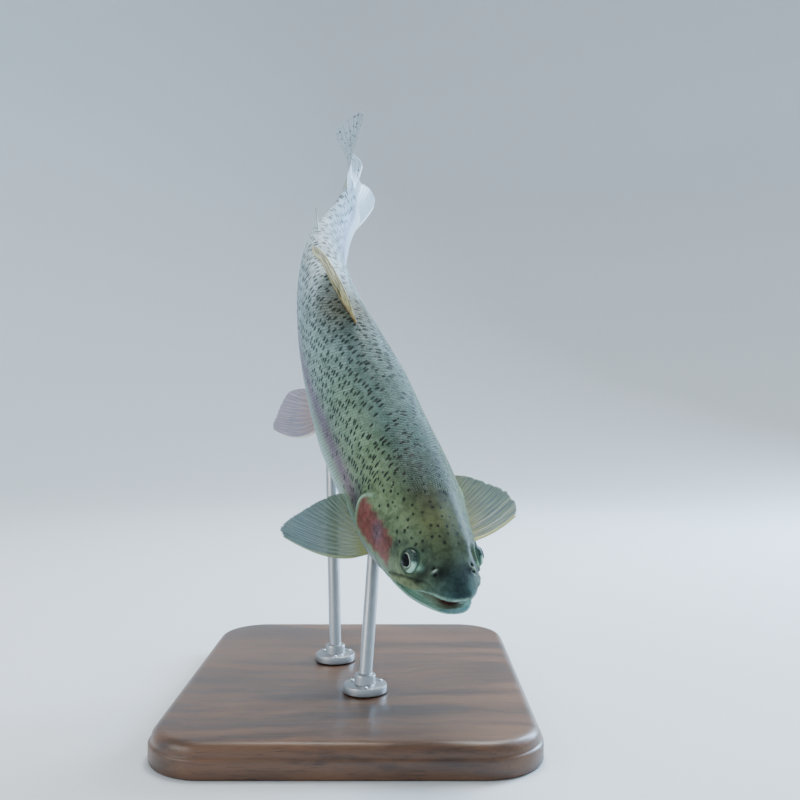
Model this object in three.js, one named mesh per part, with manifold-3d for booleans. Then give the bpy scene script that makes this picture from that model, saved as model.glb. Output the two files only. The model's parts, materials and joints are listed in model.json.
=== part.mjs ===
// A life-size rainbow trout (Oncorhynchus mykiss), diving with its body in a gentle S,
// held over a flat wooden base by two steel rods. Millimetres, +Z up, origin at the
// middle of the base's underside.
//
// The fish is first built straight: s runs back from the snout, y to its left, z to its back.
// A bent and twisted spine then carries every vertex to its place over the base.

import * as THREE from 'three';
import Module from 'manifold-3d';
import { mergeVertices } from 'three/addons/utils/BufferGeometryUtils.js';

const wasm = await Module();
wasm.setup();

// ---- Driving sizes -------------------------------------------------------------------

const BODY_LENGTH = 393; // snout to the end of the tail stem
const GAP = 0.3; // between neighbouring pieces
const DEGREE = Math.PI / 180;

// Pose of the head, seen from above: heading from +X, nose below level, roll to the left
const HEADING = -70 * DEGREE;
const DIVE = -30 * DEGREE;
const ROLL = 1 * DEGREE;
const SNOUT = [58, -128, 86];

// Bends of the spine in degrees per 100 mm, and its twist in degrees, at places along s
const SIDE_BEND = [[70, 0], [95, 29], [120, 0], [160, 3], [210, -15], [260, -25], [310, -27], [350, -16],
  [393, 7], [450, 29]];
const UP_BEND = [[60, 0], [90, -30], [130, -19], [180, -4], [280, 8], [393, -13]];
const TWIST = [[160, 0], [220, 10], [280, 18], [340, 32], [400, 24]];

// Outline of the straight body at places along s: back above and belly below the axis,
// and half the width
const BACK = [[0, 3], [2, 6.5], [5, 9.5], [10, 13], [17, 16.5], [29, 22], [45, 27.5], [64, 33], [90, 38.5],
  [130, 44.5], [165, 48], [193, 49], [242, 43], [290, 33], [312, 27.5], [340, 21], [365, 18.2], [393, 20.5]];
const BELLY = [[0, 2.6], [3, 5], [6, 7.2], [10, 9.9], [17, 14.2], [29, 20], [45, 26.4], [64, 31.5], [90, 37],
  [130, 43.5], [175, 47.5], [210, 46], [250, 40], [286, 33], [326, 23], [350, 18.8], [370, 17.8], [393, 20]];
const HALF_WIDTH = [[0, 5.5], [2, 8.2], [5, 10.5], [10, 13.4], [17, 16.8], [29, 21], [42, 23.2], [56, 25.2], [72, 27.6],
  [88, 28.5], [112, 28], [160, 27], [210, 24.6], [250, 21.2], [287, 16.4], [314, 11.6], [340, 8.2], [365, 5.6],
  [393, 3.6]];
const ROUNDNESS = 2.25; // exponent of the section: 2 is an ellipse, more is fuller
const SIDES = 28; // facets round the body

// Head
const GILL_EDGE_SIDE = 86; // rear edge of the gill cover, by where it is on the section
const GILL_EDGE_TOP = 66;
const GILL_EDGE_BELLY = 52;
const EYE = { s: 29, y: 15.6, z: 8.6, radius: 6.6 };
const MOUTH_ROOF = [[-6, 5.4], [2, 4.8], [8, 4.2], [14, 1.2], [20, -2.8], [27, -5.6], [38, -10.6], [49, -15.2]];
const MOUTH_FLOOR = [[49, -15.5], [38, -13.6], [27, -11], [20, -8.8], [14, -6.6], [8, -4.6], [3, -3.2],
  [-6, -2.8]];
const JAW_HINGE = [47, -60]; // lower end of the cut behind the jaw
const PLATE_THICKNESS = 1.3; // gill covers and upper jaw blades stand out over the head
const GILL_COVER = [[57, -17], [61, -26], [72, -27], [83, -19], [89.5, -5], [88.5, 6], [82, 14.5], [73, 19],
  [64, 21.5], [57.5, 16], [55.5, 2]];
const UPPER_JAW = [[9, 5.6], [14, 6.6], [20, 3.6], [26, 0.6], [32, -3], [38, -7], [42, -10.4], [42.5, -13],
  [39, -11.4], [32, -7.6], [26, -4.8], [19, -1.8], [13, 2.4]];

// Trunk lengths, each from the last cut to the next
const TRUNK_CUTS = [['trunk_shoulder', 140, 10], ['trunk_front', 193, 6], ['trunk_middle', 245, 6],
  ['trunk_rear', 300, 6], ['tail_stem_front', 350, 5], ['tail_stem_rear', BODY_LENGTH - 1, 4]];

// Stand
const BASE = { width: 210, depth: 250, height: 18, corner: 34, edge: 2.5 };
const ROD_RADIUS = 4;
const FOOT = { radius: 13, height: 5 };
const PAD = { radius: 7, height: 4 };
const RODS = [
  { name: 'front', s: 112, foot: [8, -42] },
  { name: 'rear', s: 238, foot: [-14, 22] },
];

// ---- Colours -------------------------------------------------------------------------

const COLOURS = {
  head: [0x6f7a45, 0.45],
  cheek: [0xa0524f, 0.45],
  jaw: [0xa9b58a, 0.45],
  flank: [0x8d9c83, 0.42],
  tail: [0xa9bcc0, 0.42],
  eye: [0x1c1e1a, 0.15],
  fin: [0x9aa59a, 0.5],
  spotted_fin: [0xb5a566, 0.5],
  pale_fin: [0xc9c2c4, 0.5],
  wood: [0x3a2a20, 0.5],
  steel: [0x8c8f92, 0.35, 1],
};

// ---- Small tools ---------------------------------------------------------------------

// Smooth curve through a list of [s, value], with level or averaged slopes at each place
function along(list, s) {
  const last = list.length - 1;
  if (s <= list[0][0]) return list[0][1];
  if (s >= list[last][0]) return list[last][1];
  let i = 0;
  while (s > list[i + 1][0]) i += 1;
  const slope = (k) => (list[k + 1][1] - list[k][1]) / (list[k + 1][0] - list[k][0]);
  const tangent = (k) => {
    if (k === 0) return slope(0);
    if (k === last) return slope(last - 1);
    const before = slope(k - 1);
    const after = slope(k);
    return before * after <= 0 ? 0 : 2 * before * after / (before + after);
  };
  const span = list[i + 1][0] - list[i][0];
  const t = (s - list[i][0]) / span;
  const rise = t * t * (3 - 2 * t);
  return list[i][1] * (1 - rise) + list[i + 1][1] * rise
    + span * (tangent(i) * t * (1 - t) * (1 - t) - tangent(i + 1) * t * t * (1 - t));
}

// Straight lines through a list of [s, value]
function between(list, s) {
  const last = list.length - 1;
  if (s <= list[0][0]) return list[0][1];
  if (s >= list[last][0]) return list[last][1];
  let i = 0;
  while (s > list[i + 1][0]) i += 1;
  const t = (s - list[i][0]) / (list[i + 1][0] - list[i][0]);
  return list[i][1] * (1 - t) + list[i + 1][1] * t;
}

function solidOf(geometry) {
  const bare = geometry.clone();
  bare.deleteAttribute('normal');
  bare.deleteAttribute('uv');
  const merged = mergeVertices(bare, 1e-4);
  return new wasm.Manifold(new wasm.Mesh({
    numProp: 3,
    vertProperties: new Float32Array(merged.attributes.position.array),
    triVerts: new Uint32Array(merged.index.array),
  }));
}

function geometryOf(solid) {
  const mesh = solid.getMesh();
  const geometry = new THREE.BufferGeometry();
  geometry.setAttribute('position', new THREE.BufferAttribute(new Float32Array(mesh.vertProperties), 3));
  geometry.setIndex(new THREE.BufferAttribute(new Uint32Array(mesh.triVerts), 1));
  return geometry;
}

// Closed mesh from points and triangles, turned so that its faces point out
function closedGeometry(points, triangles) {
  let volume = 0;
  for (const [a, b, c] of triangles) {
    const [p, q, r] = [points[a], points[b], points[c]];
    volume += p[0] * (q[1] * r[2] - q[2] * r[1]) - p[1] * (q[0] * r[2] - q[2] * r[0])
      + p[2] * (q[0] * r[1] - q[1] * r[0]);
  }
  const turned = volume < 0 ? triangles.map(([a, b, c]) => [a, c, b]) : triangles;
  const geometry = new THREE.BufferGeometry();
  geometry.setAttribute('position', new THREE.BufferAttribute(new Float32Array(points.flat()), 3));
  geometry.setIndex(turned.flat());
  return geometry;
}

// Closed loft through rings of points, with a fan over each end
function loft(rings) {
  const count = rings[0].length;
  const points = rings.flat();
  const triangles = [];
  for (let i = 0; i + 1 < rings.length; i += 1) {
    for (let k = 0; k < count; k += 1) {
      const a = i * count + k;
      const b = i * count + (k + 1) % count;
      triangles.push([a, b, b + count], [a, b + count, a + count]);
    }
  }
  for (const [ring, flip] of [[0, true], [rings.length - 1, false]]) {
    const centre = points.length;
    points.push([0, 1, 2].map((axis) => rings[ring].reduce((sum, p) => sum + p[axis], 0) / count));
    for (let k = 0; k < count; k += 1) {
      const a = ring * count + k;
      const b = ring * count + (k + 1) % count;
      triangles.push(flip ? [centre, b, a] : [centre, a, b]);
    }
  }
  return closedGeometry(points, triangles);
}

// Block from an outline in (s, z), reaching across y from one value to another
function acrossBody(outline, from, to) {
  const shape = new THREE.Shape(outline.map(([s, z]) => new THREE.Vector2(s, z)));
  const block = new THREE.ExtrudeGeometry(shape, { depth: to - from, bevelEnabled: false });
  block.applyMatrix4(new THREE.Matrix4().set(1, 0, 0, 0, 0, 0, -1, to, 0, 1, 0, 0, 0, 0, 0, 1));
  return solidOf(block);
}

// ---- The bent spine ------------------------------------------------------------------

const STEP = 2;
const spine = [];
{
  const forward = new THREE.Vector3(Math.cos(DIVE) * Math.cos(HEADING), Math.cos(DIVE) * Math.sin(HEADING),
    Math.sin(DIVE));
  const level = new THREE.Vector3(-Math.sin(HEADING), Math.cos(HEADING), 0);
  const left = level.clone().applyAxisAngle(forward, ROLL);
  const up = new THREE.Vector3().crossVectors(forward, left);
  const place = new THREE.Vector3(...SNOUT);
  for (let s = 0; s <= 480; s += STEP) {
    spine.push({ place: place.clone(), left: left.clone(), up: up.clone() });
    const turn = DEGREE * between(SIDE_BEND, s + STEP / 2) * STEP / 100;
    const lift = DEGREE * between(UP_BEND, s + STEP / 2) * STEP / 100;
    const next = forward.clone().addScaledVector(left, turn).addScaledVector(up, lift).normalize();
    place.addScaledVector(forward.clone().add(next), -STEP / 2);
    forward.copy(next);
    up.addScaledVector(forward, -up.dot(forward)).normalize();
    left.crossVectors(up, forward);
  }
}

function bent([s, y, z]) {
  const at = Math.min(Math.max(s / STEP, 0), spine.length - 1.001);
  const i = Math.floor(at);
  const mix = (name) => spine[i][name].clone().lerp(spine[i + 1][name], at - i);
  const twist = DEGREE * between(TWIST, s);
  const sideways = y * Math.cos(twist) - z * Math.sin(twist);
  const upward = y * Math.sin(twist) + z * Math.cos(twist);
  const place = mix('place').addScaledVector(mix('left'), sideways).addScaledVector(mix('up'), upward);
  if (s < 0) {
    const ahead = spine[0].place.clone().sub(spine[1].place).divideScalar(STEP);
    place.addScaledVector(ahead, -s);
  }
  return place;
}

const trout = new THREE.Group();

function addMesh(name, geometry, colour) {
  const [hex, roughness, metalness = 0] = COLOURS[colour];
  const bare = geometry.index ? geometry.toNonIndexed() : geometry.clone();
  bare.deleteAttribute('normal');
  bare.deleteAttribute('uv');
  const merged = mergeVertices(bare, 1e-3);
  merged.computeVertexNormals();
  const mesh = new THREE.Mesh(merged, new THREE.MeshStandardMaterial({ color: hex, roughness, metalness }));
  mesh.name = name;
  trout.add(mesh);
}

// Adds a piece of the straight fish at its place along the bent spine. The straight frame is
// left-handed, so each triangle is turned round on the way.
function addBent(name, geometry, colour) {
  const moved = geometry.clone();
  const position = moved.attributes.position;
  const index = moved.index.array;
  for (let i = 0; i < index.length; i += 3) [index[i], index[i + 1]] = [index[i + 1], index[i]];
  for (let i = 0; i < position.count; i += 1) {
    const place = bent([position.getX(i), position.getY(i), position.getZ(i)]);
    position.setXYZ(i, place.x, place.y, place.z);
  }
  addMesh(name, moved, colour);
}

// ---- Body shape ----------------------------------------------------------------------

// Point of the skin at s and at an angle round from the back, moved out by offset
function skin(s, angle, offset = 0) {
  const power = 2 / ROUNDNESS;
  const height = Math.cos(angle) >= 0 ? along(BACK, s) : along(BELLY, s);
  const round = (value) => Math.sign(value) * Math.abs(value) ** power;
  return [s, (along(HALF_WIDTH, s) + offset) * round(Math.sin(angle)), (height + offset) * round(Math.cos(angle))];
}

const ANGLES = Array.from({ length: SIDES }, (_, k) => 2 * Math.PI * k / SIDES);

// Where the gill cover's rear edge crosses a line at this angle round the body
function gillEdge(angle) {
  const side = Math.abs(Math.sin(angle)) ** 1.5;
  const end = Math.cos(angle) > 0 ? GILL_EDGE_TOP : GILL_EDGE_BELLY;
  return end + (GILL_EDGE_SIDE - end) * side;
}

function straightLength(from, to, steps, offset = 0) {
  const rings = [];
  for (let i = 0; i <= steps; i += 1) {
    rings.push(ANGLES.map((angle) => skin(from + (to - from) * i / steps, angle, offset)));
  }
  return loft(rings);
}

// ---- Head, jaws, gill covers and eyes ------------------------------------------------

function eyeball(radius, side, across, down) {
  const ball = new THREE.SphereGeometry(radius, across, down);
  ball.rotateX(Math.PI / 2 * -side);
  ball.translate(EYE.s, EYE.y * side, EYE.z);
  return ball;
}

{
  const steps = [0, 0.02, 0.05, 0.1, 0.16, 0.22, 0.29, 0.36, 0.43, 0.5, 0.58, 0.66, 0.74, 0.82, 0.91, 1];
  const rings = steps.map((step) => ANGLES.map((angle) => skin(gillEdge(angle) * step, angle)));
  const whole = solidOf(loft(rings));

  const mouthLine = MOUTH_ROOF.concat([[MOUTH_ROOF.at(-1)[0] + GAP, MOUTH_ROOF.at(-1)[1]],
    [JAW_HINGE[0] + GAP, JAW_HINGE[1]], [-6, JAW_HINGE[1]]]);
  const jawLine = MOUTH_FLOOR.concat([[-6, JAW_HINGE[1]], JAW_HINGE]);
  let skull = whole.subtract(acrossBody(mouthLine, -60, 60));
  for (const side of [1, -1]) skull = skull.subtract(solidOf(eyeball(EYE.radius + GAP, side, 16, 10)));
  addBent('head', geometryOf(skull), 'head');
  addBent('lower_jaw', geometryOf(whole.intersect(acrossBody(jawLine, -60, 60))), 'jaw');

  const plates = solidOf(straightLength(0.5, 100, 22, GAP + PLATE_THICKNESS))
    .subtract(solidOf(straightLength(0, 101, 22, GAP)));
  for (const [name, side] of [['left', 1], ['right', -1]]) {
    const [from, to] = side > 0 ? [6, 60] : [-60, -6];
    addBent(`gill_cover_${name}`, geometryOf(plates.intersect(acrossBody(GILL_COVER, from, to))), 'cheek');
    addBent(`upper_jaw_${name}`, geometryOf(plates.intersect(acrossBody(UPPER_JAW, from, to))), 'jaw');
    addBent(`eye_${name}`, eyeball(EYE.radius, side, 16, 10), 'eye');
  }
}

// ---- Trunk and tail stem -------------------------------------------------------------

{
  let from = null;
  for (const [name, to, steps] of TRUNK_CUTS) {
    const rings = [];
    for (let i = 0; i <= steps; i += 1) {
      rings.push(ANGLES.map((angle) => {
        const start = (from ?? gillEdge(angle)) + GAP;
        return skin(start + (to - start) * i / steps, angle);
      }));
    }
    addBent(name, loft(rings), name.startsWith('tail') ? 'tail' : 'flank');
    from = to;
  }
}

// ---- Fins ----------------------------------------------------------------------------

// A fin is a fan of rays. Its frame has the root line along `back`, rays along `out`, and
// `across` through its thickness. `slant` leans each ray back, `lengths` gives its length,
// both from the first ray (0) to the last (1). `bow` bends the first rays forward between
// their ends, and `curve` bends the sheet sideways.
function finSolid({ root, back, out, across, rootLength, slant, lengths, bow = 0, rays, rows, thick,
  curve = () => 0 }) {
  const points = [];
  const triangles = [];
  const cell = (face, ray, row) => (face * (rays + 1) + ray) * (rows + 1) + row;
  for (const face of [0, 1]) {
    for (let ray = 0; ray <= rays; ray += 1) {
      const f = ray / rays;
      const lean = DEGREE * along(slant, f);
      const length = along(lengths, f);
      for (let row = 0; row <= rows; row += 1) {
        const t = row / rows;
        const half = (thick[0] + (thick[1] - thick[0]) * Math.sqrt(t)) / 2;
        const u = f * rootLength + (Math.sin(lean) - bow * (1 - f) ** 1.5 * (1 - t)) * length * t;
        const v = Math.cos(lean) * length * t;
        const w = curve(f, t) + (face === 0 ? half : -half);
        points.push([0, 1, 2].map((axis) => root[axis] + back[axis] * u + out[axis] * v + across[axis] * w));
      }
    }
  }
  const quad = (a, b, c, d) => triangles.push([a, b, c], [a, c, d]);
  for (let ray = 0; ray < rays; ray += 1) {
    for (let row = 0; row < rows; row += 1) {
      quad(cell(0, ray, row), cell(0, ray + 1, row), cell(0, ray + 1, row + 1), cell(0, ray, row + 1));
      quad(cell(1, ray, row), cell(1, ray, row + 1), cell(1, ray + 1, row + 1), cell(1, ray + 1, row));
    }
    quad(cell(0, ray, 0), cell(1, ray, 0), cell(1, ray + 1, 0), cell(0, ray + 1, 0));
    quad(cell(0, ray, rows), cell(0, ray + 1, rows), cell(1, ray + 1, rows), cell(1, ray, rows));
  }
  for (let row = 0; row < rows; row += 1) {
    quad(cell(0, 0, row), cell(0, 0, row + 1), cell(1, 0, row + 1), cell(1, 0, row));
    quad(cell(0, rays, row), cell(1, rays, row), cell(1, rays, row + 1), cell(0, rays, row + 1));
  }
  return solidOf(closedGeometry(points, triangles));
}

// Frame of a fin, from the direction of its root line and of its rays
function finFrame(back, out) {
  const b = new THREE.Vector3(...back).normalize();
  const across = new THREE.Vector3().crossVectors(b, new THREE.Vector3(...out)).normalize();
  const o = new THREE.Vector3().crossVectors(across, b);
  return { back: b.toArray(), out: o.toArray(), across: across.toArray() };
}

const keepOff = solidOf(straightLength(40, BODY_LENGTH - 1 + GAP, 44, GAP));

function addFin(name, fin, colour) {
  const clear = finSolid(fin).subtract(keepOff);
  const pieces = clear.decompose().sort((a, b) => b.volume() - a.volume());
  addBent(name, geometryOf(pieces[0]), colour);
}

const lean = (degrees) => [0, -Math.sin(degrees * DEGREE), Math.cos(degrees * DEGREE)];

addFin('dorsal_fin', {
  ...finFrame([1, 0, -0.1], lean(5.5)),
  root: [193, 0, 44],
  rootLength: 49,
  slant: [[0, 31], [0.4, 38], [1, 52]],
  lengths: [[0, 47], [0.12, 46], [0.35, 42], [0.7, 31.5], [1, 20]],
  bow: 0.3,
  rays: 12,
  rows: 5,
  thick: [2.6, 0.6],
  curve: (f, t) => 6 * t * t,
}, 'spotted_fin');

addFin('adipose_fin', {
  ...finFrame([1, 0, -0.25], lean(6)),
  root: [299, 0, 27],
  rootLength: 11,
  slant: [[0, 58], [1, 42]],
  lengths: [[0, 20], [0.4, 23], [1, 13]],
  rays: 4,
  rows: 4,
  thick: [2.4, 1],
}, 'fin');

addFin('anal_fin', {
  ...finFrame([1, 0, 0.25], [0, -0.45, -1]),
  root: [286, 0, -29],
  rootLength: 39,
  slant: [[0, 30], [0.4, 40], [1, 54]],
  lengths: [[0, 44], [0.12, 48], [0.35, 43], [0.7, 31], [1, 22]],
  bow: 0.4,
  rays: 10,
  rows: 5,
  thick: [2.4, 0.6],
  curve: (f, t) => 5 * t * t,
}, 'pale_fin');

// The tail fin's rays spread from the end of the stem; the upper lobe curls to the right and
// the lower lobe is partly closed
addFin('tail_fin', {
  back: [0, 0, -1],
  out: [1, 0, 0],
  across: [0, 1, 0],
  root: [382, 0, 19],
  rootLength: 38,
  slant: [[0, -33], [0.25, -22], [0.5, -8], [0.75, 4], [1, 14]],
  lengths: [[0, 64], [0.06, 72], [0.2, 64], [0.5, 40], [0.8, 50], [0.94, 56], [1, 50]],
  rays: 18,
  rows: 6,
  thick: [3.4, 1],
  curve: (f, t) => t * t * (8 - 8 * f - 26 * Math.sin(Math.PI * Math.min(f / 0.42, 1)) ** 2
    - 7 * Math.exp(-(((f - 0.52) / 0.13) ** 2))),
}, 'spotted_fin');

const BREAST_FINS = [
  {
    side: 'right',
    sign: -1,
    out: [-0.03, -0.99, -0.1],
    slant: [[0, 14], [0.5, 26], [1, 66]],
    lengths: [[0, 54], [0.15, 56], [0.4, 50], [0.75, 33], [1, 21]],
    bow: 0.6,
  },
  {
    side: 'left',
    sign: 1,
    out: [-0.05, 1, 0.03],
    slant: [[0, 8], [0.5, 27], [1, 50]],
    lengths: [[0, 64], [0.15, 68], [0.4, 57], [0.75, 40], [1, 22]],
    bow: 0.35,
  },
];
for (const { side, sign, out, slant, lengths, bow } of BREAST_FINS) {
  addFin(`pectoral_fin_${side}`, {
    ...finFrame([0.93, 0, 0.36], out),
    root: [84, 15 * sign, -31],
    rootLength: 15,
    slant,
    lengths,
    bow,
    rays: 12,
    rows: 6,
    thick: [3, 0.6],
    curve: (f, t) => 7.5 * sign * t * t,
  }, 'fin');
}

for (const [side, sign, out] of [['right', -1, [0, -0.88, -0.47]], ['left', 1, [0.2, 0.6, -0.8]]]) {
  addFin(`pelvic_fin_${side}`, {
    ...finFrame([1, 0, 0.12], out),
    root: [192, 8 * sign, -38],
    rootLength: 13,
    slant: [[0, 6], [0.5, 17], [1, 50]],
    lengths: [[0, 38], [0.15, 39], [0.45, 36], [0.8, 31], [1, 18]],
    bow: 1.1,
    rays: 10,
    rows: 6,
    thick: [2.6, 0.6],
    curve: (f, t) => 3.4 * sign * t * t,
  }, 'pale_fin');
}

// ---- Stand ---------------------------------------------------------------------------

{
  const halfWidth = BASE.width / 2 - BASE.edge;
  const halfDepth = BASE.depth / 2 - BASE.edge;
  const corner = BASE.corner;
  const outline = new THREE.Shape();
  outline.absarc(halfWidth - corner, halfDepth - corner, corner, 0, Math.PI / 2, false);
  outline.absarc(corner - halfWidth, halfDepth - corner, corner, Math.PI / 2, Math.PI, false);
  outline.absarc(corner - halfWidth, corner - halfDepth, corner, Math.PI, Math.PI * 1.5, false);
  outline.absarc(halfWidth - corner, corner - halfDepth, corner, Math.PI * 1.5, Math.PI * 2, false);
  const block = new THREE.ExtrudeGeometry(outline, {
    depth: BASE.height - 2 * BASE.edge,
    bevelThickness: BASE.edge,
    bevelSize: BASE.edge,
    bevelSegments: 1,
    curveSegments: 6,
  });
  block.translate(0, 0, BASE.edge);
  addMesh('stand_base', block, 'wood');
}

// A round bar from one point to another
function bar(from, to, radius, sides) {
  const axis = to.clone().sub(from);
  const length = axis.length();
  const cylinder = new THREE.CylinderGeometry(radius, radius, length, sides);
  cylinder.applyQuaternion(new THREE.Quaternion().setFromUnitVectors(new THREE.Vector3(0, 1, 0),
    axis.normalize()));
  cylinder.translate((from.x + to.x) / 2, (from.y + to.y) / 2, (from.z + to.z) / 2);
  return cylinder;
}

for (const { name, s, foot: [x, y] } of RODS) {
  // The pad is hollowed to the belly, and the rod ends just under it
  const depth = along(BELLY, s);
  const block = new THREE.CylinderGeometry(PAD.radius, PAD.radius, PAD.height * 2, 20);
  block.rotateX(Math.PI / 2);
  block.translate(s, 0, -depth);
  addBent(`stand_pad_${name}`, geometryOf(solidOf(block).subtract(keepOff)), 'steel');

  const foot = new THREE.CylinderGeometry(FOOT.radius, FOOT.radius, FOOT.height, 24);
  foot.rotateX(Math.PI / 2);
  foot.translate(x, y, BASE.height + GAP + FOOT.height / 2);
  addMesh(`stand_foot_${name}`, foot, 'steel');

  const padFoot = bent([s, 0, -depth - PAD.height]);
  const down = bent([s, 0, -depth - PAD.height - 1]).sub(padFoot).normalize();
  const rodTop = padFoot.addScaledVector(down, GAP + ROD_RADIUS);
  const rodFoot = new THREE.Vector3(x, y, BASE.height + FOOT.height + 2 * GAP);
  const reach = rodTop.clone().sub(rodFoot).normalize();
  const start = rodFoot.clone().addScaledVector(reach, -ROD_RADIUS);
  const below = new THREE.BoxGeometry(8 * ROD_RADIUS, 8 * ROD_RADIUS, 8 * ROD_RADIUS);
  below.translate(rodFoot.x, rodFoot.y, rodFoot.z - 4 * ROD_RADIUS);
  const rod = solidOf(bar(start, rodTop, ROD_RADIUS, 16)).subtract(solidOf(below));
  addMesh(`stand_rod_${name}`, geometryOf(rod), 'steel');
}

export default trout;
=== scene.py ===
"""A life-size rainbow trout on a wooden base, diving with its body in a gentle S.

The fish is made straight first, in millimetres: s runs back from the snout, y to the fish's
left, z to its back. The bent backbone then carries every point to its place over the base.
"""

import json
import math
import bpy
import numpy as np
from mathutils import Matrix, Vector

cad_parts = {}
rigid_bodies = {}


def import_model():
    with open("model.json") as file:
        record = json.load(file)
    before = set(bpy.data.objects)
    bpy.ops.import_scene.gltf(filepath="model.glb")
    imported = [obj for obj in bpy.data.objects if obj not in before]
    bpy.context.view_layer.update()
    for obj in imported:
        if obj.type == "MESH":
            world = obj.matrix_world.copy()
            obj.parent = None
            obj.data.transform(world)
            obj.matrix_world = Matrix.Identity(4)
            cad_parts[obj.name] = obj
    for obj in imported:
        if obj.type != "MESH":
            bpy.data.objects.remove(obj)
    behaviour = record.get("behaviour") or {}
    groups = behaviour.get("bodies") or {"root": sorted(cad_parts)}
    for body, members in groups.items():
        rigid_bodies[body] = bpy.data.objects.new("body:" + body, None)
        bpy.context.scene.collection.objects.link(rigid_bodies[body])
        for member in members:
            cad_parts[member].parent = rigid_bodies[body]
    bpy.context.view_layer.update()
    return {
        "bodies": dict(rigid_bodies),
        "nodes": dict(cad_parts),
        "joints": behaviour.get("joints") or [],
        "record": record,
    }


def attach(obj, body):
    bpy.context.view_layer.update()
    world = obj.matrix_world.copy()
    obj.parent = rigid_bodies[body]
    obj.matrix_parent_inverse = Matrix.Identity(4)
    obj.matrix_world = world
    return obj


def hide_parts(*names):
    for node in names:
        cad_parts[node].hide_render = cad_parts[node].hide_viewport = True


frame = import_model()

# ======================================================================================
# SKIN
# One hide, from the lips to the root of the tail fin: a full round trunk, a bony head
# with a gill cover and a jaw blade on each side, and the slot of the mouth between the
# jaws. It is lofted, cut and remeshed while straight, then bent with the backbone.
# ======================================================================================

MM = 0.001


def smooth_line(places, s):
    """Smooth curve through (s, value) places, level where the slopes change sign."""
    at, value = np.array(places, float).T
    slope = np.diff(value) / np.diff(at)
    before, after = slope[:-1], slope[1:]
    shared = before * after > 0
    total = np.where(shared, before + after, 1)
    inner = np.where(shared, 2 * before * after / total, 0)
    tangent = np.concatenate([slope[:1], inner, slope[-1:]])
    s = np.clip(s, at[0], at[-1])
    i = np.clip(np.searchsorted(at, s) - 1, 0, len(at) - 2)
    span = at[i + 1] - at[i]
    t = (s - at[i]) / span
    rise = t * t * (3 - 2 * t)
    bend = tangent[i] * t * (1 - t) ** 2 - tangent[i + 1] * t * t * (1 - t)
    return value[i] * (1 - rise) + value[i + 1] * rise + span * bend


def line(places, s):
    """Straight lines through (s, value) places."""
    at, value = np.array(places, float).T
    return np.interp(s, at, value)


def step(low, high, value):
    """Smooth step from 0 at low to 1 at high."""
    t = np.clip((value - low) / (high - low), 0, 1)
    return t * t * (3 - 2 * t)


def bump(value, width):
    """Bell of height 1 at 0."""
    return np.exp(-((value / width) ** 2))


def unit(way):
    return way / np.linalg.norm(way)


def turns(count):
    """Equal steps of a full turn."""
    return np.linspace(0, 2 * math.pi, count, endpoint=False)


# The backbone: where the snout is, how the head points, and the bends along the body
SNOUT = (58, -128, 86)
HEADING = math.radians(-70)
DIVE = math.radians(-30)
ROLL = math.radians(1)
SIDE_BEND = [(70, 0), (95, 29), (120, 0), (160, 3), (210, -15), (260, -25), (310, -27),
             (350, -16), (393, 7), (450, 29)]
UP_BEND = [(60, 0), (90, -30), (130, -19), (180, -4), (280, 8), (393, -13)]
TWIST = [(160, 0), (220, 10), (280, 18), (340, 32), (400, 24)]
BONE = 2.0  # length of one bone of the backbone


def backbone():
    """Place, way to the left and way up of each bone, from the snout back."""
    forward = np.array([math.cos(DIVE) * math.cos(HEADING), math.cos(DIVE) * math.sin(HEADING),
                        math.sin(DIVE)])
    level = np.array([-math.sin(HEADING), math.cos(HEADING), 0])
    left = level * math.cos(ROLL) + np.cross(forward, level) * math.sin(ROLL)
    up = np.cross(forward, left)
    place = np.array(SNOUT, float)
    bones = []
    for s in np.arange(0, 480 + BONE / 2, BONE):
        bones.append((place.copy(), left.copy(), up.copy()))
        turn = math.radians(line(SIDE_BEND, s + BONE / 2)) * BONE / 100
        lift = math.radians(line(UP_BEND, s + BONE / 2)) * BONE / 100
        following = unit(forward + left * turn + up * lift)
        place = place - (forward + following) * BONE / 2
        forward = following
        up = unit(up - forward * up.dot(forward))
        left = np.cross(up, forward)
    return [np.array(column) for column in zip(*bones)]


BONE_PLACE, BONE_LEFT, BONE_UP = backbone()


def bend(points):
    """Straight points in millimetres to their places over the base, in metres."""
    s, y, z = points.T
    at = np.clip(s / BONE, 0, len(BONE_PLACE) - 1.001)
    i = at.astype(int)
    t = (at - i)[:, None]
    place, left, up = (a[i] * (1 - t) + a[i + 1] * t for a in (BONE_PLACE, BONE_LEFT, BONE_UP))
    twist = np.radians(line(TWIST, s))
    sideways = (y * np.cos(twist) - z * np.sin(twist))[:, None]
    upward = (y * np.sin(twist) + z * np.cos(twist))[:, None]
    ahead = (BONE_PLACE[0] - BONE_PLACE[1]) / BONE
    return (place + left * sideways + up * upward + ahead * np.maximum(-s, 0)[:, None]) * MM


# Outline of the straight body: back above and belly below the axis, and half the width
BODY_LENGTH = 393
BACK = [(0, 3), (2, 6.5), (5, 9.5), (10, 13), (17, 16.5), (29, 22), (45, 27.5), (64, 33),
        (90, 38.5), (130, 44.5), (165, 48), (193, 49), (242, 43), (290, 33), (312, 27.5),
        (340, 21), (365, 18.2), (393, 20.5)]
BELLY = [(0, 2.6), (3, 5), (6, 7.2), (10, 9.9), (17, 14.2), (29, 20), (45, 26.4), (64, 31.5),
         (90, 37), (130, 43.5), (175, 47.5), (210, 46), (250, 40), (286, 33), (326, 23),
         (350, 18.8), (370, 17.8), (393, 20)]
HALF_WIDTH = [(0, 5.5), (2, 8.2), (5, 10.5), (10, 13.4), (17, 16.8), (29, 21), (42, 23.2),
              (56, 25.2), (72, 27.6), (88, 28.5), (112, 28), (160, 27), (210, 24.6),
              (250, 21.2), (287, 16.4), (314, 11.6), (340, 8.2), (365, 5.6), (393, 3.6)]
ROUNDNESS = 2.25
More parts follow.
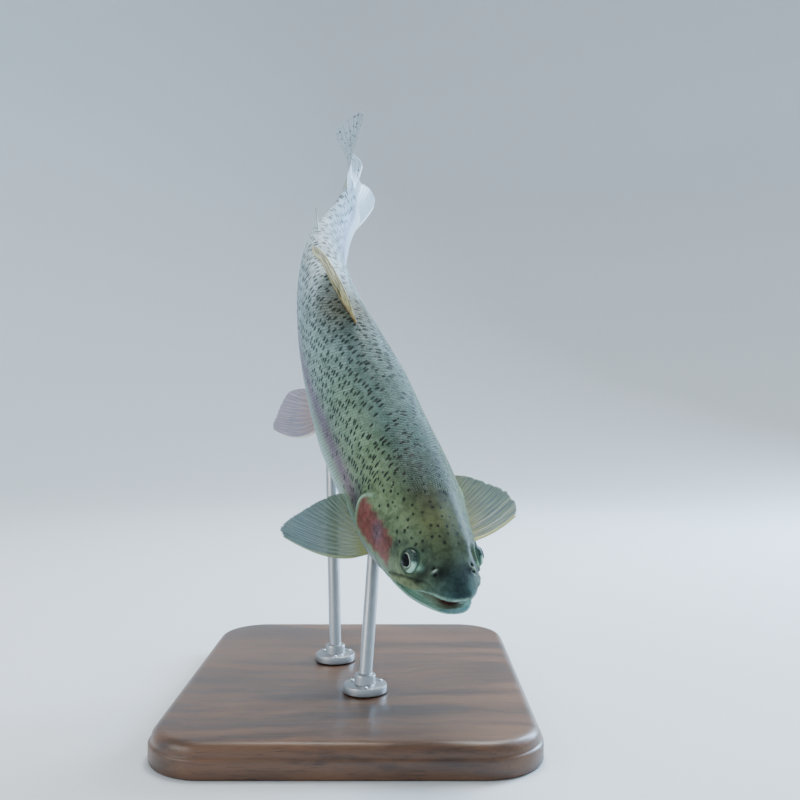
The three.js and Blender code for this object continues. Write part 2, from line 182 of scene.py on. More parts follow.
FLESH_END = 400  # the scaly flesh thins out over the root of the tail fin
SCALE_DEPTH = 0.35  # the skin lies this far inside, under the scales


def half_sizes(s):
    """Half width, back height and belly depth at s."""
    thin = 1 - 0.8 * step(BODY_LENGTH - 12, FLESH_END, s)
    low = 1 - 0.1 * step(BODY_LENGTH, FLESH_END, s)
    return smooth_line(HALF_WIDTH, s) * thin, smooth_line(BACK, s) * low, smooth_line(BELLY, s) * low


def on_skin(s, angle, rise=0):
    """Points of the outline at s and at an angle round from the back, the left side first."""
    width, back, belly = half_sizes(s)
    height = np.where(np.cos(angle) >= 0, back, belly)
    across, upward = (np.sign(v) * np.abs(v) ** (2 / ROUNDNESS)
                      for v in (np.sin(angle), np.cos(angle)))
    return np.stack([s + 0 * angle, (width + rise) * across, (height + rise) * upward], -1)


def angle_of(s, y, z):
    """Angle round from the back, 0 to pi on either side, and how far out the point lies."""
    width, back, belly = half_sizes(s)
    height = np.where(z >= 0, back, belly)
    across = np.abs(y / width) ** (ROUNDNESS / 2)
    upward = np.sign(z) * np.abs(z / height) ** (ROUNDNESS / 2)
    return np.arctan2(across, upward), np.hypot(across, upward) ** (2 / ROUNDNESS)


# Tape measure round the body: length from the middle of the back, at each s and angle
TAPE_STEP = 2.0
TAPE_PARTS = 180
TAPE_S = np.arange(0, FLESH_END + 1, TAPE_STEP)
tape_points = on_skin(TAPE_S[:, None], np.linspace(0, math.pi, TAPE_PARTS + 1)[None, :])
tape_steps = np.linalg.norm(np.diff(tape_points, axis=1), axis=2)
TAPE = np.concatenate([np.zeros((len(TAPE_S), 1)), np.cumsum(tape_steps, axis=1)], axis=1)


def to_line(s):
    """Length of the tape at s from the back to the lateral line."""
    return np.interp(s, TAPE_S, TAPE[:, TAPE_PARTS // 2])


def to_belly(s):
    """Length of the tape at s from the back to the middle of the belly."""
    return np.interp(s, TAPE_S, TAPE[:, -1])


def tape_at(s, angle):
    """Length of the tape at s from the back round to an angle."""
    i = np.clip(s / TAPE_STEP, 0, len(TAPE_S) - 1.001)
    k = np.clip(angle / math.pi * TAPE_PARTS, 0, TAPE_PARTS - 0.001)
    a, b = i.astype(int), k.astype(int)
    t, u = i - a, k - b
    near = TAPE[a, b] * (1 - u) + TAPE[a, b + 1] * u
    far = TAPE[a + 1, b] * (1 - u) + TAPE[a + 1, b + 1] * u
    return near * (1 - t) + far * t


def level_at(s, tape):
    """1 on the middle of the back, 0 on the lateral line, -1 on the middle of the belly."""
    middle, whole = to_line(s), to_belly(s)
    return np.where(tape < middle, (middle - tape) / middle, (middle - tape) / (whole - middle))


def gill_edge(angle):
    """Where the rear edge of the gill cover crosses a line at this angle round the body."""
    end = np.where(np.cos(angle) > 0, 66, 52)
    return end + (86 - end) * np.abs(np.sin(angle)) ** 1.5


# Head
EYE_PLACE = (29, 15.6, 8.6)
EYE_RADIUS = 6.6
MOUTH_ROOF = [(-6, 5.4), (2, 4.8), (8, 4.2), (14, 1.2), (20, -2.8), (27, -5.6), (38, -10.6),
              (49, -15.2)]
MOUTH_FLOOR = [(-6, -2.8), (3, -3.2), (8, -4.6), (14, -6.6), (20, -8.8), (27, -11), (38, -13.6),
               (49, -15.5)]
MOUTH_DEPTH = 8  # how far the slot of the mouth goes in from the lips
GILL_COVER = [(57, -17), (61, -26), (72, -27), (83, -19), (89.5, -5), (88.5, 6), (82, 14.5),
              (73, 19), (64, 21.5), (57.5, 16), (55.5, 2)]
JAW_BLADE = [(9, 5.6), (14, 6.6), (20, 3.6), (26, 0.6), (32, -3), (38, -7), (42, -10.4),
             (42.5, -13), (39, -11.4), (32, -7.6), (26, -4.8), (19, -1.8), (13, 2.4)]
CHEEK_SEAM = [(55, 17), (60, 5), (60.5, -7), (57.5, -18), (50, -25), (40, -29.5)]
LOWER_SEAM = [(60, -13.5), (70, -13.5), (80, -11.5), (88, -6.5)]
THROAT_SEAM = [(50, -21.5), (60, -24.5), (72, -25)]
NOSTRIL = (15.2, 10.3)
FAR = 99  # added to a distance where a mark doesn't reach, as on the other side of the head
MARKS_END = (100, 108)  # the head's relief and marks fade out here

BODY_COLUMNS = 144
NOSE_TURNS = (85, 65, 45, 22)
NOSE_REACH = 1.3


def between_rings(rings, sides):
    """Four-sided faces between rings of points that follow one another."""
    ring, k = np.meshgrid(np.arange(rings - 1) * sides, np.arange(sides), indexing="ij")
    ring, k = ring.ravel(), k.ravel()
    after = (k + 1) % sides
    return np.stack([ring + k, ring + sides + k, ring + sides + after, ring + after], 1)


def capped(rings):
    """Points of a row of rings and of the middles of its ends; faces of its wall and its ends."""
    sides = len(rings[0])
    points = np.concatenate(list(rings) + [rings[0].mean(0)[None], rings[-1].mean(0)[None]])
    wall = between_rings(len(rings), sides)[:, [0, 3, 2, 1]]
    last = (len(rings) - 1) * sides
    ends = []
    for k in range(sides):
        after = (k + 1) % sides
        ends += [(len(points) - 2, after, k), (len(points) - 1, last + k, last + after)]
    return points, wall, np.array(ends)


def loft(stations, columns, rise):
    """Closed tube through the outline at the stations, with a rounded nose."""
    angle = turns(columns)
    rings = [on_skin(np.full(columns, float(s)), angle, rise(s)) for s in stations]
    nose = []
    for turn in NOSE_TURNS:
        ring = rings[0].copy()
        ring[:, 1:] *= math.cos(math.radians(turn))
        ring[:, 0] -= NOSE_REACH * math.sin(math.radians(turn))
        nose.append(ring)
    points, wall, ends = capped(nose + rings)
    return points, wall.tolist() + ends.tolist()


def plain_object(name, points, faces):
    """An object that isn't a piece of the model."""
    mesh = bpy.data.meshes.new(name)
    mesh.from_pydata(np.asarray(points).tolist(), [], faces)
    made = bpy.data.objects.new(name, mesh)
    bpy.context.scene.collection.objects.link(made)
    return made


def evaluated(thing):
    """Points and quad faces of an object with its modifiers."""
    graph = bpy.context.evaluated_depsgraph_get()
    mesh = thing.evaluated_get(graph).to_mesh()
    points = np.empty(len(mesh.vertices) * 3)
    mesh.vertices.foreach_get("co", points)
    corners = np.empty(len(mesh.loops), int)
    mesh.loops.foreach_get("vertex_index", corners)
    return points.reshape(-1, 3), corners.reshape(-1, 4)


# The trunk is pressed together along its length before the remesh, so that the head keeps
# the finer mesh
MESH_SIZE = 0.5
PRESS_FROM = 96
PRESS = 0.4


def pressed(points, by):
    """Points with their distance behind the head multiplied."""
    points = np.array(points, float)
    beyond = points[:, 0] > PRESS_FROM
    points[beyond, 0] = PRESS_FROM + (points[beyond, 0] - PRESS_FROM) * by
    return points


def trunk_rise(s):
    """The trunk's skin lies a little inside the outline, and the scales fill it up."""
    return -SCALE_DEPTH * step(60, 92, s)


stations = np.concatenate([np.arange(0, 12, 0.5), np.arange(12, PRESS_FROM, 1),
                           np.arange(PRESS_FROM, FLESH_END + 1, 2)])
body_points, body_faces = loft(stations, BODY_COLUMNS, trunk_rise)
body = plain_object("body", pressed(body_points, PRESS), body_faces)

# The slot of the mouth runs round the front of the head from one corner to the other. Its
# path holds an outer point, clear of the lips, and an inner one, each as s and y.
SLOT_CLEAR = 6
SLOT_TURN = 20  # from here forwards the slot runs round the front
SLOT_OUTER_FRONT = 28
SLOT_INNER_FRONT = 11
slot_path = []
for at in (49, 44, 38, 32, 27, 23):
    edge = float(smooth_line(HALF_WIDTH, at))
    slot_path.append((at, edge + SLOT_CLEAR, at, edge - MOUTH_DEPTH))
edge = float(smooth_line(HALF_WIDTH, SLOT_TURN))
for way in np.radians(np.linspace(0, 90, 10)):
    ahead, across = math.sin(way), math.cos(way)
    slot_path.append((SLOT_TURN - SLOT_OUTER_FRONT * ahead, (edge + SLOT_CLEAR) * across,
                      SLOT_TURN - SLOT_INNER_FRONT * ahead, (edge - MOUTH_DEPTH) * across))
slot_path += [(s_out, -y_out, s_in, -y_in) for s_out, y_out, s_in, y_in in slot_path[-2::-1]]
slot_points = []
for s_out, y_out, s_in, y_in in slot_path:
    for at, across, height in ((s_out, y_out, MOUTH_ROOF), (s_in, y_in, MOUTH_ROOF),
                               (s_in, y_in, MOUTH_FLOOR), (s_out, y_out, MOUTH_FLOOR)):
        slot_points.append((at, across, float(line(height, at))))
slot_faces = [(0, 1, 2, 3), tuple(len(slot_points) - k for k in (1, 2, 3, 4))]
slot_faces += between_rings(len(slot_path), 4).tolist()
slot = plain_object("slot", slot_points, slot_faces)
cut = body.modifiers.new("mouth", "BOOLEAN")
cut.operation = "DIFFERENCE"
cut.object = slot

# The eyes' sockets are balls a little larger than the eyes
SOCKET_GAP = 0.25
SOCKET_SIDES = 48
SOCKET_RINGS = 24
helpers = [slot]
for side in (1, -1):
    turn, tilt = np.meshgrid(turns(SOCKET_SIDES), np.linspace(0, math.pi, SOCKET_RINGS + 1))
    ball = np.stack([np.sin(tilt) * np.cos(turn), np.sin(tilt) * np.sin(turn), np.cos(tilt)], -1)
    ball = ball.reshape(-1, 3) * (EYE_RADIUS + SOCKET_GAP) + np.array(EYE_PLACE) * (1, side, 1)
    socket = plain_object("socket", ball, between_rings(SOCKET_RINGS + 1, SOCKET_SIDES).tolist())
    weld = socket.modifiers.new("weld", "WELD")
    weld.merge_threshold = 0.01
    cut = body.modifiers.new("socket", "BOOLEAN")
    cut.operation = "DIFFERENCE"
    cut.object = socket
    helpers.append(socket)
remesh = body.modifiers.new("remesh", "REMESH")
remesh.mode = "VOXEL"
remesh.voxel_size = MESH_SIZE
relax = body.modifiers.new("relax", "SMOOTH")
relax.factor = 0.5
relax.iterations = 3
skin_points, skin_faces = evaluated(body)
skin_points = pressed(skin_points, 1 / PRESS)
for helper in helpers + [body]:
    bpy.data.objects.remove(helper)


def normals_of(points, faces):
    """Way out of a mesh of four-sided faces at each of its points."""
    a, b, c, d = (points[faces[:, k]] for k in range(4))
    across = np.cross(c - a, d - b)
    total = np.zeros_like(points)
    for axis in range(3):
        for k in range(4):
            total[:, axis] += np.bincount(faces[:, k], across[:, axis], len(points))
    return total / np.maximum(np.linalg.norm(total, axis=1), 1e-9)[:, None]


def rounded(outline):
    """A closed outline with its corners rounded."""
    points = np.array(outline, float)
    made = []
    for i in range(len(points)):
        a, b, c, d = (points[(i + k) % len(points)] for k in (-1, 0, 1, 2))
        for t in np.linspace(0, 1, 8, endpoint=False):
            made.append(0.5 * (2 * b + (c - a) * t + (2 * a - 5 * b + 4 * c - d) * t ** 2
                               + (3 * b - a - 3 * c + d) * t ** 3))
    return np.array(made)


def from_line(places, s, z):
    """Distance in the side view from a line through places."""
    places = np.array(places, float)
    nearest = np.full(len(s), 1e9)
    for (s0, z0), (s1, z1) in zip(places[:-1], places[1:]):
        ds, dz = s1 - s0, z1 - z0
        t = np.clip(((s - s0) * ds + (z - z0) * dz) / (ds * ds + dz * dz), 0, 1)
        nearest = np.minimum(nearest, np.hypot(s - s0 - ds * t, z - z0 - dz * t))
    return nearest


def inside(outline, s, z):
    """Distance in from a closed outline in the side view, negative outside it."""
    points = rounded(outline)
    closed = np.vstack([points, points[:1]])
    within = np.zeros(len(s), bool)
    for (s0, z0), (s1, z1) in zip(closed[:-1], closed[1:]):
        crosses = (z0 > z) != (z1 > z)
        within ^= crosses & (s < (s1 - s0) * (z - z0) / (z1 - z0 + 1e-12) + s0)
    return np.where(within, 1, -1) * from_line(closed, s, z)


def patch(along, across, radius, hidden):
    """Soft round patch where along and across are both near 0, unless it is hidden."""
    return bump(np.hypot(along, across) + FAR * hidden, radius)


def head_relief(s, y, z):
    """How far the bones and folds of the head stand out over its outline, and its marks."""
    rise = np.zeros(len(s))
    marks = {}
    angle, _ = angle_of(s, y, z)
    wide = np.abs(y)
    # gill cover: lies flush at its front, and stands free at its rear edge
    cover = inside(GILL_COVER, s, z)
    lift = step(57, 80, s)
    rise += (0.2 + 1.15 * lift) * step(-0.5, 0.8, cover)
    rise -= 0.75 * bump(cover + 1.5, 0.9) * lift
    marks["cover"] = step(-0.4, 0.6, cover)
    marks["cover_rim"] = bump(cover - 1.1, 1.2) * step(70, 80, s)
    # seams between the bones of the cheek and the gill cover
    cheek = from_line(CHEEK_SEAM, s, z)
    rise += 0.25 * bump(cheek - 1.7, 1.4) - 0.3 * bump(cheek, 0.75)
    lower = from_line(LOWER_SEAM, s, z)
    rise += 0.15 * bump(lower - 1.2, 0.9) - 0.4 * bump(lower, 0.6)
    rise -= 0.45 * bump(from_line(THROAT_SEAM, s, z), 0.7)
    marks["seam"] = np.clip(bump(cheek, 0.9) + 0.7 * bump(lower, 0.7), 0, 1)
    # jaw blade, with the slit over it and painted shade in the slit
    blade = inside(JAW_BLADE, s, z)
    rise += 0.95 * step(-0.3, 0.9, blade) * step(4, 16, s)
    rise -= 0.5 * bump(blade + 0.7, 0.55) * step(8, 20, s)
    marks["blade"] = step(-0.2, 0.7, blade) * step(10, 22, s)
    marks["blade_slit"] = bump(blade + 0.5, 0.6) * step(8, 20, s)
    # lips along the mouth
    upper_lip = z - line(MOUTH_ROOF, s)
    lower_lip = line(MOUTH_FLOOR, s) - z
    front = 1 - step(40, 52, s)
    rise += 0.4 * bump(upper_lip - 0.9, 0.9) * (1 - step(2, 14, s)) * front
    rise += 0.32 * bump(lower_lip - 1.3, 1.3) * front
    rise -= 0.35 * bump(lower_lip - 4.4, 0.9) * front
    marks["lip"] = np.clip(bump(upper_lip - 0.3, 0.75) + bump(lower_lip - 0.6, 1.4), 0, 1) * front
    # rim of the eye and the brow over it
    eye = np.linalg.norm(np.stack([s, wide, z], 1) - EYE_PLACE, axis=1)
    rise += 0.55 * bump(eye - 7.9, 0.95) - 0.35 * bump(eye - 10.2, 1.1)
    marks["eye_rim"] = 1 - step(7.0, 7.9, eye)
    rise += 0.5 * bump(np.hypot(s - 28, (z - 18.5) * 1.6), 6) * step(3, 11, wide)
    # nostrils: two pits and the flap between them, with painted shade in the pits
    back_of, side_of = s - NOSTRIL[0], wide - NOSTRIL[1]
    pits = sum(patch((back_of - along) * 1.1, side_of, 0.85, z < 5) for along in (-1.35, 1.5))
    flap = patch(back_of * 1.9, side_of * 0.8, 0.9, z < 5)
    rise += 0.45 * patch(back_of, side_of, 2.9, z < 5) - 1.35 * pits + 0.9 * flap
    marks["nostril"] = np.clip(pits, 0, 1)
    marks["flap"] = np.clip(flap, 0, 1)
    # rows of pores under the eye, along the lower jaw and up the cheek
    pores = []
    for turn in np.radians(np.arange(-160, 60, 24)):
        pores.append((EYE_PLACE[0] + 11.5 * math.cos(turn), EYE_PLACE[2] + 11.5 * math.sin(turn)))
    pores += [(p, float(line([(8, -9.5), (30, -18.5), (50, -26.5)], p))) for p in range(10, 50, 6)]
    pores += [(62.6, p) for p in range(-6, 14, 5)]
    pits = np.zeros(len(s))
    for at, height in pores:
        pits = np.maximum(pits, patch(s - at, z - height, 0.7, wide < 7))
    rise -= 0.35 * pits
    marks["pore"] = pits
    # top of the skull: a low keel with a hollow on each side, and the fold of the nape
    top = step(0.2, 0.8, np.cos(angle))
    keel = step(10, 22, s) * (1 - step(54, 66, s))
    rise += top * keel * (0.15 * bump(wide, 2.6) - 0.15 * bump(wide - 6, 3))
    rise -= 0.12 * bump(s - gill_edge(angle) - 0.5, 1.3) * step(-0.2, 0.3, np.cos(angle))
    # folds of the throat: thin bones that spread the skin under the gill covers
    throat = (1 - step(-26, -21, z)) * step(34, 44, s) * (1 - step(64, 72, s))
    fan = (z + 27 + 0.42 * (s - 40)) / 3.1
    rise += throat * (0.34 * np.sin(2 * math.pi * fan)) * step(2, 5, wide)
    rise -= 0.9 * bump(wide, 1.7) * step(12, 24, s) * (1 - step(52, 62, s)) * (z < 0)
    # soft skin wrinkled behind the gill cover
    behind = step(1.5, 4, -cover) * (1 - step(9, 14, -cover)) * step(80, 86, s) * (wide > 12)
    rise += behind * 0.12 * np.sin(2 * math.pi * (-cover) / 2.6)
    return rise, marks


s, y, z = skin_points.T
wide = np.abs(y)
angle, out = angle_of(s, y, z)
in_slot = (z < line(MOUTH_ROOF, s) + 0.5) & (z > line(MOUTH_FLOOR, s) - 0.5) & (s < 50)
outer = np.where((s < 2.5) & ~in_slot, 1, step(0.9, 0.95, out))
marked = outer * (1 - step(*MARKS_END, s))
rise, marks = head_relief(s, y, z)
rise *= marked
# lateral line, a shallow gutter down each flank, and the vent on the belly
tape = tape_at(s, angle)
rise -= 0.15 * bump(tape - to_line(s), 0.8) * step(92, 100, s)
vent = np.hypot(s - 279, y)
rise += np.where(z < 0, 1.2 * bump(vent, 3.2) - 1.3 * bump(vent, 1.4), 0)
skin_points = skin_points + normals_of(skin_points, skin_faces) * rise[:, None]
for name in marks:
    marks[name] = marks[name] * marked
marks["mouth"] = (1 - outer) * in_slot


def tint(red, green, blue):
    """A colour given as 0 to 255 on a screen, as light."""
    value = np.array([red, green, blue]) / 255
    return np.where(value <= 0.04045, value / 12.92, ((value + 0.055) / 1.055) ** 2.4)


def tint_line(places, s):
    """Colours passing through places given as s, red, green and blue."""
    at = [place[0] for place in places]
    channels = np.array([tint(*place[1:]) for place in places]).T
    return np.stack([np.interp(s, at, channel) for channel in channels], -1)


def over(ground, colour, amount):
    """A colour laid over the ground colour by an amount."""
    amount = np.clip(amount, 0, 1)[:, None]
    return ground * (1 - amount) + colour * amount


def painted(ground, coats):
    """Coats of (red, green, blue) colours laid over the ground one after the other."""
    for colour, amount in coats:
        ground = over(ground, tint(*colour), amount)
    return ground


# Ground colours of the body from the head to the tail, each as s, red, green and blue. Towards the
# tail the back turns paler than the flank, which is painted light.
BACK_TINTS = [(0, 42, 62, 64), (12, 46, 62, 60), (24, 72, 84, 58), (40, 84, 90, 56),
              (54, 72, 78, 54), (66, 54, 70, 56), (95, 68, 92, 84), (120, 86, 112, 106),
              (145, 97, 121, 114), (205, 128, 150, 151), (240, 204, 224, 232),
              (300, 212, 230, 240), (393, 180, 202, 220)]
FLANK_TINTS = [(0, 54, 82, 86), (14, 84, 104, 84), (50, 106, 122, 88), (95, 124, 146, 108),
               (160, 138, 164, 144), (240, 166, 192, 196), (300, 178, 200, 216),
               (393, 180, 200, 216)]
LOW_TINTS = [(0, 100, 140, 136), (40, 106, 132, 106), (60, 132, 158, 146), (160, 158, 186, 188),
             (300, 192, 210, 224), (393, 194, 210, 224)]
BELLY_TINT = (216, 224, 226)
STRIPE_TINTS = [(90, 116, 82, 98), (200, 122, 104, 134), (300, 154, 142, 174),
                (393, 168, 168, 190)]


def ground_tint(s, level):
    """Colour of the body's skin and scales, before its spots."""
    ground = tint_line(BACK_TINTS, s)
    ground = over(ground, tint_line(FLANK_TINTS, s), 1 - step(0.45, 0.85, level))
    stripe = 0.9 * bump(level + 0.02, 0.13) * step(84, 96, s)
    ground = over(ground, tint_line(STRIPE_TINTS, s), stripe)
    ground = over(ground, tint_line(LOW_TINTS, s), 1 - step(-0.4, -0.14, level))
    chin = (1 - step(12, 30, s)) * (1 - step(-0.4, -0.1, level))
    return painted(ground, [
        # painted shadow of the dorsal fin on the back, round its root
        ((104, 88, 48), 0.62 * bump(s - 214, 21) * step(0.5, 0.85, level)),
        # painted shadow of the gill covers on the body behind them
        ((56, 72, 72), 0.65 * bump(s - 95, 8) * bump(level, 0.3)),
        (BELLY_TINT, 1 - step(-0.78, -0.4, level)),
        ((112, 154, 150), 0.85 * chin)])


level = level_at(s, tape)
head = 1 - step(-3, 2, s - gill_edge(angle))
red_middle = line([(36, 0.5), (46, 1.2), (60, 1.5), (86, 1.5)], s)
red_half = line([(36, 8), (44, 9.2), (60, 11.4), (86, 13)], s)
ragged = 0.07 * np.sin(0.9 * s + 0.7 * z) + 0.06 * np.sin(2.1 * s - 1.7 * z)
red = 1 - step(0.66, 1.08, np.abs(z - red_middle) / red_half + ragged)
red *= step(42.5, 46.5, s + 6 * ragged) * (1 - step(86, 90, s)) * head
under_eye = bump(s - 31, 9) * bump(z + 0.5 + 0.1 * (s - 30), 3.4) * step(8, 12, wide)
bridle = patch(s - 18.6, (wide - 14) * 0.8, 3.2, z < 3)  # from the eye to the nostril
bridle = np.maximum(bridle, patch(s - 13, wide - 7.6, 3.1, z < 5))
ground = painted(ground_tint(s, level), [
    # the red of the cheek and the gill cover
    ((122, 56, 56), (0.9 + 0.5 * ragged) * red),
    ((104, 60, 50), 0.6 * red * (1 - step(44, 58, s))),
    # painted lavender sheen on the middle of the red gill cover
    ((112, 96, 112), 0.75 * red * bump(np.hypot(s - 60, (z - 4) * 0.8), 5)),
    # the gill cover's low part and free edge, the cheek and the jaw
    ((118, 104, 116), 0.6 * marks["cover"] * (1 - step(-20, -10, z))),
    ((160, 194, 166), 0.9 * marks["cover_rim"] * step(-12, 0, z)),
    ((128, 140, 100), 0.55 * under_eye),
    ((128, 138, 98), 0.6 * marks["blade"]),
    # painted shade in the slit over the jaw blade
    ((30, 30, 24), 0.75 * marks["blade_slit"]),
    ((34, 40, 30), 0.25 * marks["seam"]),
    ((156, 188, 172), 0.75 * marks["lip"]),
    ((52, 76, 64), 0.6 * marks["eye_rim"]),
    ((36, 62, 58), 0.35 * patch(s - 26.5, z - 16.5, 3.4, wide < 9)),  # over the eye
    ((46, 54, 38), 0.45 * bump(wide, 6) * bump(s - 26, 8) * (z > 0)),  # between the eyes
    ((12, 18, 14), 0.95 * bridle),
    ((40, 52, 44), 0.7 * patch(s - 36, (z - 13.5) * 1.3, 3.4, wide < 10)),  # behind the eye
    ((40, 56, 52), 0.7 * patch(s - 41, (z - 8.5) * 0.7, 3.2, wide < 10)),  # ahead of the red
    ((164, 212, 190), 0.85 * patch((s - 21.6) * 0.8, z - 10.4, 1.5, wide < 10)),  # corner of the eye
    # painted shade inside the nostril pits
    ((10, 12, 12), 0.95 * marks["nostril"]),
    ((214, 230, 216), 0.95 * marks["flap"]),
    ((30, 36, 28), 0.5 * marks["pore"])])
# painted shade darkens the left side of the snout; the mouth is pale at its edge and dark red inside,
# partly its flesh and partly painted shade
painted_left_shade = 0.85 * head * step(2, 9, y) * step(10, 22, s) * (z > 0)
ground = over(ground, ground * (0.6, 0.62, 0.42), painted_left_shade)
ground = painted(ground, [
    ((150, 190, 172), marks["mouth"]),
    ((112, 124, 104), marks["mouth"] * (1 - step(0.66, 0.84, out))),
    # the dark red deep inside the mouth is partly painted shade
    ((64, 34, 28), marks["mouth"] * (1 - step(0.45, 0.68, out)))])


def spots_at(s, level):
    """Where spots grow: thick over the back, thinner on the upper flank, none on the belly."""
    back = step(0.06, 0.22, level)
    thin = 0.5 * step(0.45, 0.8, level) * (1 - step(110, 170, s))
    few = 0.16 * step(-0.3, 0.02, level) * (1 - back) * step(86, 100, s)
    few = few + 0.4 * bump(s - 100, 16) * bump(level, 0.15)
    return back * step(60, 90, s) * (0.95 - thin - 0.25 * step(290, 370, s)) + few


def head_spots_at(s, level):
    """Where the larger, sparser spots of the head grow."""
    return step(0.25, 0.45, level) * step(18, 30, s) * (1 - step(80, 130, s)) * 0.75


def silver_at(s, level):
    """Where the flank shines like silver."""
    return step(90, 180, s) * (1 - step(0.2, 0.7, level)) * 0.35


class Finish:
    """One node material round a Principled surface."""

    def __init__(self, name, **fixed):
        self.material = bpy.data.materials.new(name)
        self.material.use_nodes = True
        self.tree = self.material.node_tree
        self.tree.nodes.clear()
        self.surface = self.tree.nodes.new("ShaderNodeBsdfPrincipled")
        output = self.tree.nodes.new("ShaderNodeOutputMaterial")
        self.tree.links.new(self.surface.outputs[0], output.inputs["Surface"])
        self.give(**fixed)

    def give(self, **sockets):
        """Set or feed the surface's own sockets."""
        for key, value in sockets.items():
            self.put(self.surface.inputs[key.replace("_", " ")], value)

    def put(self, socket, value):
        if isinstance(value, bpy.types.NodeSocket):
            self.tree.links.new(value, socket)
        elif socket.type == "RGBA":
            socket.default_value = (*value[:3], 1)
        else:
            socket.default_value = value

    def node(self, kind, feeds=(), **settings):
        made = self.tree.nodes.new("ShaderNode" + kind)
        for key, value in settings.items():
            setattr(made, key, value)
        for key, value in dict(feeds).items():
            self.put(made.inputs[key], value)
        return made

    def read(self, name, output="Fac"):
        return self.node("Attribute", attribute_name=name).outputs[output]

    def sum(self, operation, *values):
        return self.node("Math", enumerate(values), operation=operation).outputs[0]

    def times(self, a, b):
        return self.sum("MULTIPLY", a, b)

    def mix(self, amount, a, b, blend="MIX"):
        made = self.node("Mix", data_type="RGBA", blend_type=blend)
        self.put(made.inputs[0], amount)
        self.put(made.inputs[6], a)
        self.put(made.inputs[7], b)
        return made.outputs[2]

    def noise(self, where, scale, detail=4.0, rough=0.55, output="Fac"):
        feeds = {"Vector": where, "Scale": scale, "Detail": detail, "Roughness": rough}
        return self.node("TexNoise", feeds).outputs[output]

    def span(self, value, low, high, to_low=0.0, to_high=1.0):
        made = self.node("MapRange", {0: value, 1: low, 2: high, 3: to_low, 4: to_high})
        made.interpolation_type = "SMOOTHSTEP"
        return made.outputs[0]

    def vector(self, operation, a, b):
        return self.node("VectorMath", {0: a, 1: b}, operation=operation).outputs[0]

    def relief(self, height, distance, strength=1.0, under=None):
        feeds = {"Height": height, "Distance": distance, "Strength": strength}
        if under is not None:
            feeds["Normal"] = under
        return self.node("Bump", feeds).outputs[0]

    def slanted(self, where, degrees):
        """The lay of the hide turned, alike on both sides, so that x runs back and up."""
        parts = self.node("SeparateXYZ", {0: where}).outputs
        down = self.sum("ABSOLUTE", parts[1])
        cos, sin = math.cos(math.radians(degrees)), math.sin(math.radians(degrees))
        along = self.sum("SUBTRACT", self.times(parts[0], cos), self.times(down, sin))
        across = self.sum("ADD", self.times(parts[0], sin), self.times(down, cos))
        apart = self.sum("ADD", across, self.sum("GREATER_THAN", parts[1], 0.0))
        return self.node("CombineXYZ", {0: along, 1: apart, 2: 0.0}).outputs[0]

    def spots(self, where, size, stretch, present, radius, vary=0.5):
        """Dark spots in a loose pattern of cells, each 1 / stretch times as long as it is wide."""
        shape = self.vector("MULTIPLY", where, (stretch / size, 1 / size, 0))
        wobble = self.vector("SUBTRACT", self.noise(where, 900.0, 3.0, 0.6, "Color"), (0.5, 0.5, 0.5))
        shape = self.vector("ADD", shape, self.vector("MULTIPLY", wobble, (0.22, 0.22, 0)))
        cells = self.node("TexVoronoi", {"Vector": shape, "Scale": 1.0, "Randomness": 0.6},
                          voronoi_dimensions="2D")
        parts = self.node("SeparateColor", {0: cells.outputs["Color"]})
        chosen = self.span(self.sum("SUBTRACT", present, parts.outputs[0]), -0.02, 0.1)
        reach = self.sum("MULTIPLY_ADD", parts.outputs[1], radius * vary, radius * (1 - vary * 0.5))
        reach = self.times(reach, chosen)
        past = self.sum("SUBTRACT", reach, cells.outputs["Distance"])
        dark = self.span(past, -0.05, 0.09)
        return self.times(dark, chosen)


